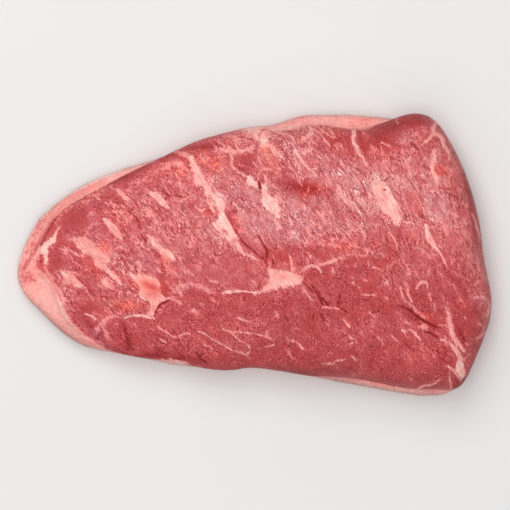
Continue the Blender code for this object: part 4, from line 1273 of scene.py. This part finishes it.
def climb(plan, look):
    """The height to which the fat may climb: more at the tip and at the far rim."""
    at_tip = smooth_step(TIP_FROM, TIP_TO, plan[:, 0])
    at_rim = smooth_step(RIM_FROM, RIM_TO, plan[:, 1]) * smooth_step(KNOT_FROM, KNOT_TO, plan[:, 0])
    return look.fillet + look.tip_fillet * np.maximum(at_tip, at_rim)


def fillet_rise(points, normals, shell, height):
    """How far each point climbs where the fat's open upper face meets the lean."""
    rise = np.zeros(len(points))
    for i in np.where((normals[:, 2] > OPEN_NORMAL) & (points[:, 2] > FILLET_FOOT * MM))[0]:
        point = Vector(points[i])
        if shell.ray_cast(point, UP)[0] is None:
            away = shell.find_nearest(point, FILLET_REACH * MM)[3]
            if away is not None:
                rise[i] = height[i] * (1 - away / (FILLET_REACH * MM)) ** 2
    return rise


class PICANHA_OT_lean(bpy.types.Operator):
    """Make the marbled muscle in place of the plain lean"""

    bl_idname = "picanha.lean"
    bl_label = "Lean"

    def execute(self, context):
        look = context.scene.picanha_lean
        obj = fine_copy("lean", "marbled_lean", look.cell)
        thin_bed(obj)
        points = points_of(obj.data)
        normals = normals_of(obj.data)
        paint = paint_lean(points[:, :2] / MM)
        paint.find_sides(normals)
        paint.store(obj.data)
        rise = look.swell + look.fat_swell * smooth_step(-1.5, 3, paint.values["mark"])
        rise -= look.crack_depth * smooth_step(-1.0, 1.6, paint.values["crack"])
        move_points(obj.data, points + normals * rise[:, None])
        raise_relief(obj, relief_tree("fibre_relief", True), {
            "Height": look.ridge_height, "Width": look.ridge_width, "Length": look.ridge_length, "Seed": 3.0,
            "Material": lean_material(),
        })
        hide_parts("lean")
        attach(obj, "root")
        return {"FINISHED"}


class PICANHA_OT_fat_cap(bpy.types.Operator):
    """Make the soft fat in place of the plain fat cap"""

    bl_idname = "picanha.fat_cap"
    bl_label = "Fat cap"

    def execute(self, context):
        look = context.scene.picanha_fat
        obj = fine_copy("fat_cap", "soft_fat_cap", look.cell)
        points = points_of(obj.data)
        normals = normals_of(obj.data)
        plan = points[:, :2] / MM
        paint = paint_fat(plan)
        paint.find_sides(normals)
        paint.values["rim"] *= smooth_step(UNDER_FROM, OPEN_NORMAL, normals[:, 2])  # creamy underneath too
        paint.store(obj.data)
        points[:, 2] += fillet_rise(points, normals, shell_of("lean"), climb(plan, look))
        move_points(obj.data, points)
        raise_relief(obj, relief_tree("fat_relief", False), {
            "Height": look.lump_height, "Width": look.lump_width, "Length": look.lump_width, "Seed": 5.0,
            "Material": fat_material(),
        })
        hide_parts("fat_cap")
        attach(obj, "root")
        return {"FINISHED"}


class PICANHA_OT_stage(bpy.types.Operator):
    """Set the floor, the lights and the camera"""

    bl_idname = "picanha.stage"
    bl_label = "Stage"

    def execute(self, context):
        look = context.scene.picanha_studio
        self.make_floor(look)
        self.make_lights(context.scene)
        self.make_camera(context.scene, look)
        context.scene.view_settings.view_transform = "Standard"
        return {"FINISHED"}

    def make_floor(self, look):
        mesh = bpy.data.meshes.new("floor")
        bm = bmesh.new()
        bmesh.ops.create_grid(bm, x_segments=1, y_segments=1, size=FLOOR_HALF)
        bm.to_mesh(mesh)
        bm.free()
        material, m = material_maker("floor_paper")
        colour = (*look.floor_colour, 1)
        sockets = {"Base Color": colour, "Roughness": FLOOR_ROUGHNESS, "Specular IOR Level": FLOOR_SPECULAR}
        shader = m.add("ShaderNodeBsdfPrincipled", None, sockets)
        m.add("ShaderNodeOutputMaterial", None, {"Surface": shader})
        mesh.materials.append(material)
        floor = added("floor", mesh)
        floor.location.z = -FLOOR_DROP

    def make_lights(self, scene):
        world = bpy.data.worlds.new("studio")
        world.use_nodes = True
        background = world.node_tree.nodes["Background"]
        background.inputs["Color"].default_value = SKY_COLOUR
        background.inputs["Strength"].default_value = SKY_STRENGTH
        scene.world = world
        for name, place, size, power in LAMPS:
            lamp = bpy.data.lights.new(name, "AREA")
            lamp.size = size
            lamp.energy = power
            light = added(name, lamp)
            light.location = place
            x, y, z = Vector(place).normalized()
            light.rotation_euler = (math.acos(z), 0, math.atan2(x, -y))
            light.visible_camera = False

    def make_camera(self, scene, look):
        lens = bpy.data.cameras.new("camera")
        lens.lens = lens.sensor_width * (look.camera_height - VIEW_LEVEL) / look.view_width
        lens.clip_end = VIEW_END
        camera = added("camera", lens)
        camera.location = (VIEW_MIDDLE, 0, look.camera_height)
        scene.camera = camera


class PICANHA_PT_panel(bpy.types.Panel):
    bl_label = "Raw Picanha"
    bl_idname = "PICANHA_PT_panel"
    bl_space_type = "VIEW_3D"
    bl_region_type = "UI"
    bl_category = "Picanha"

    def draw(self, context):
        for name, group, _, operator in STEPS:
            box = self.layout.box()
            settings = getattr(context.scene, group)
            for prop in settings.bl_rna.properties:
                if prop.identifier not in ("rna_type", "name"):
                    box.prop(settings, prop.identifier)
            box.operator(operator, text=name)


STEPS = (  # label, name of its settings, their class, operator
    ("Stage", "picanha_studio", StudioSettings, "picanha.stage"),
    ("Fat cap", "picanha_fat", FatSettings, "picanha.fat_cap"),
    ("Lean", "picanha_lean", LeanSettings, "picanha.lean"),
)
CLASSES = (
    LeanSettings, FatSettings, StudioSettings,
    PICANHA_OT_lean, PICANHA_OT_fat_cap, PICANHA_OT_stage, PICANHA_PT_panel,
)


def register():
    for cls in CLASSES:
        bpy.utils.register_class(cls)
    for _, group, settings, _ in STEPS:
        setattr(bpy.types.Scene, group, PointerProperty(type=settings))


def unregister():
    for _, group, _, _ in STEPS:
        delattr(bpy.types.Scene, group)
    for cls in reversed(CLASSES):
        bpy.utils.unregister_class(cls)


def main():
    register()
    bpy.ops.picanha.stage()
    bpy.ops.picanha.fat_cap()
    bpy.ops.picanha.lean()


if __name__ == "__main__":
    main()
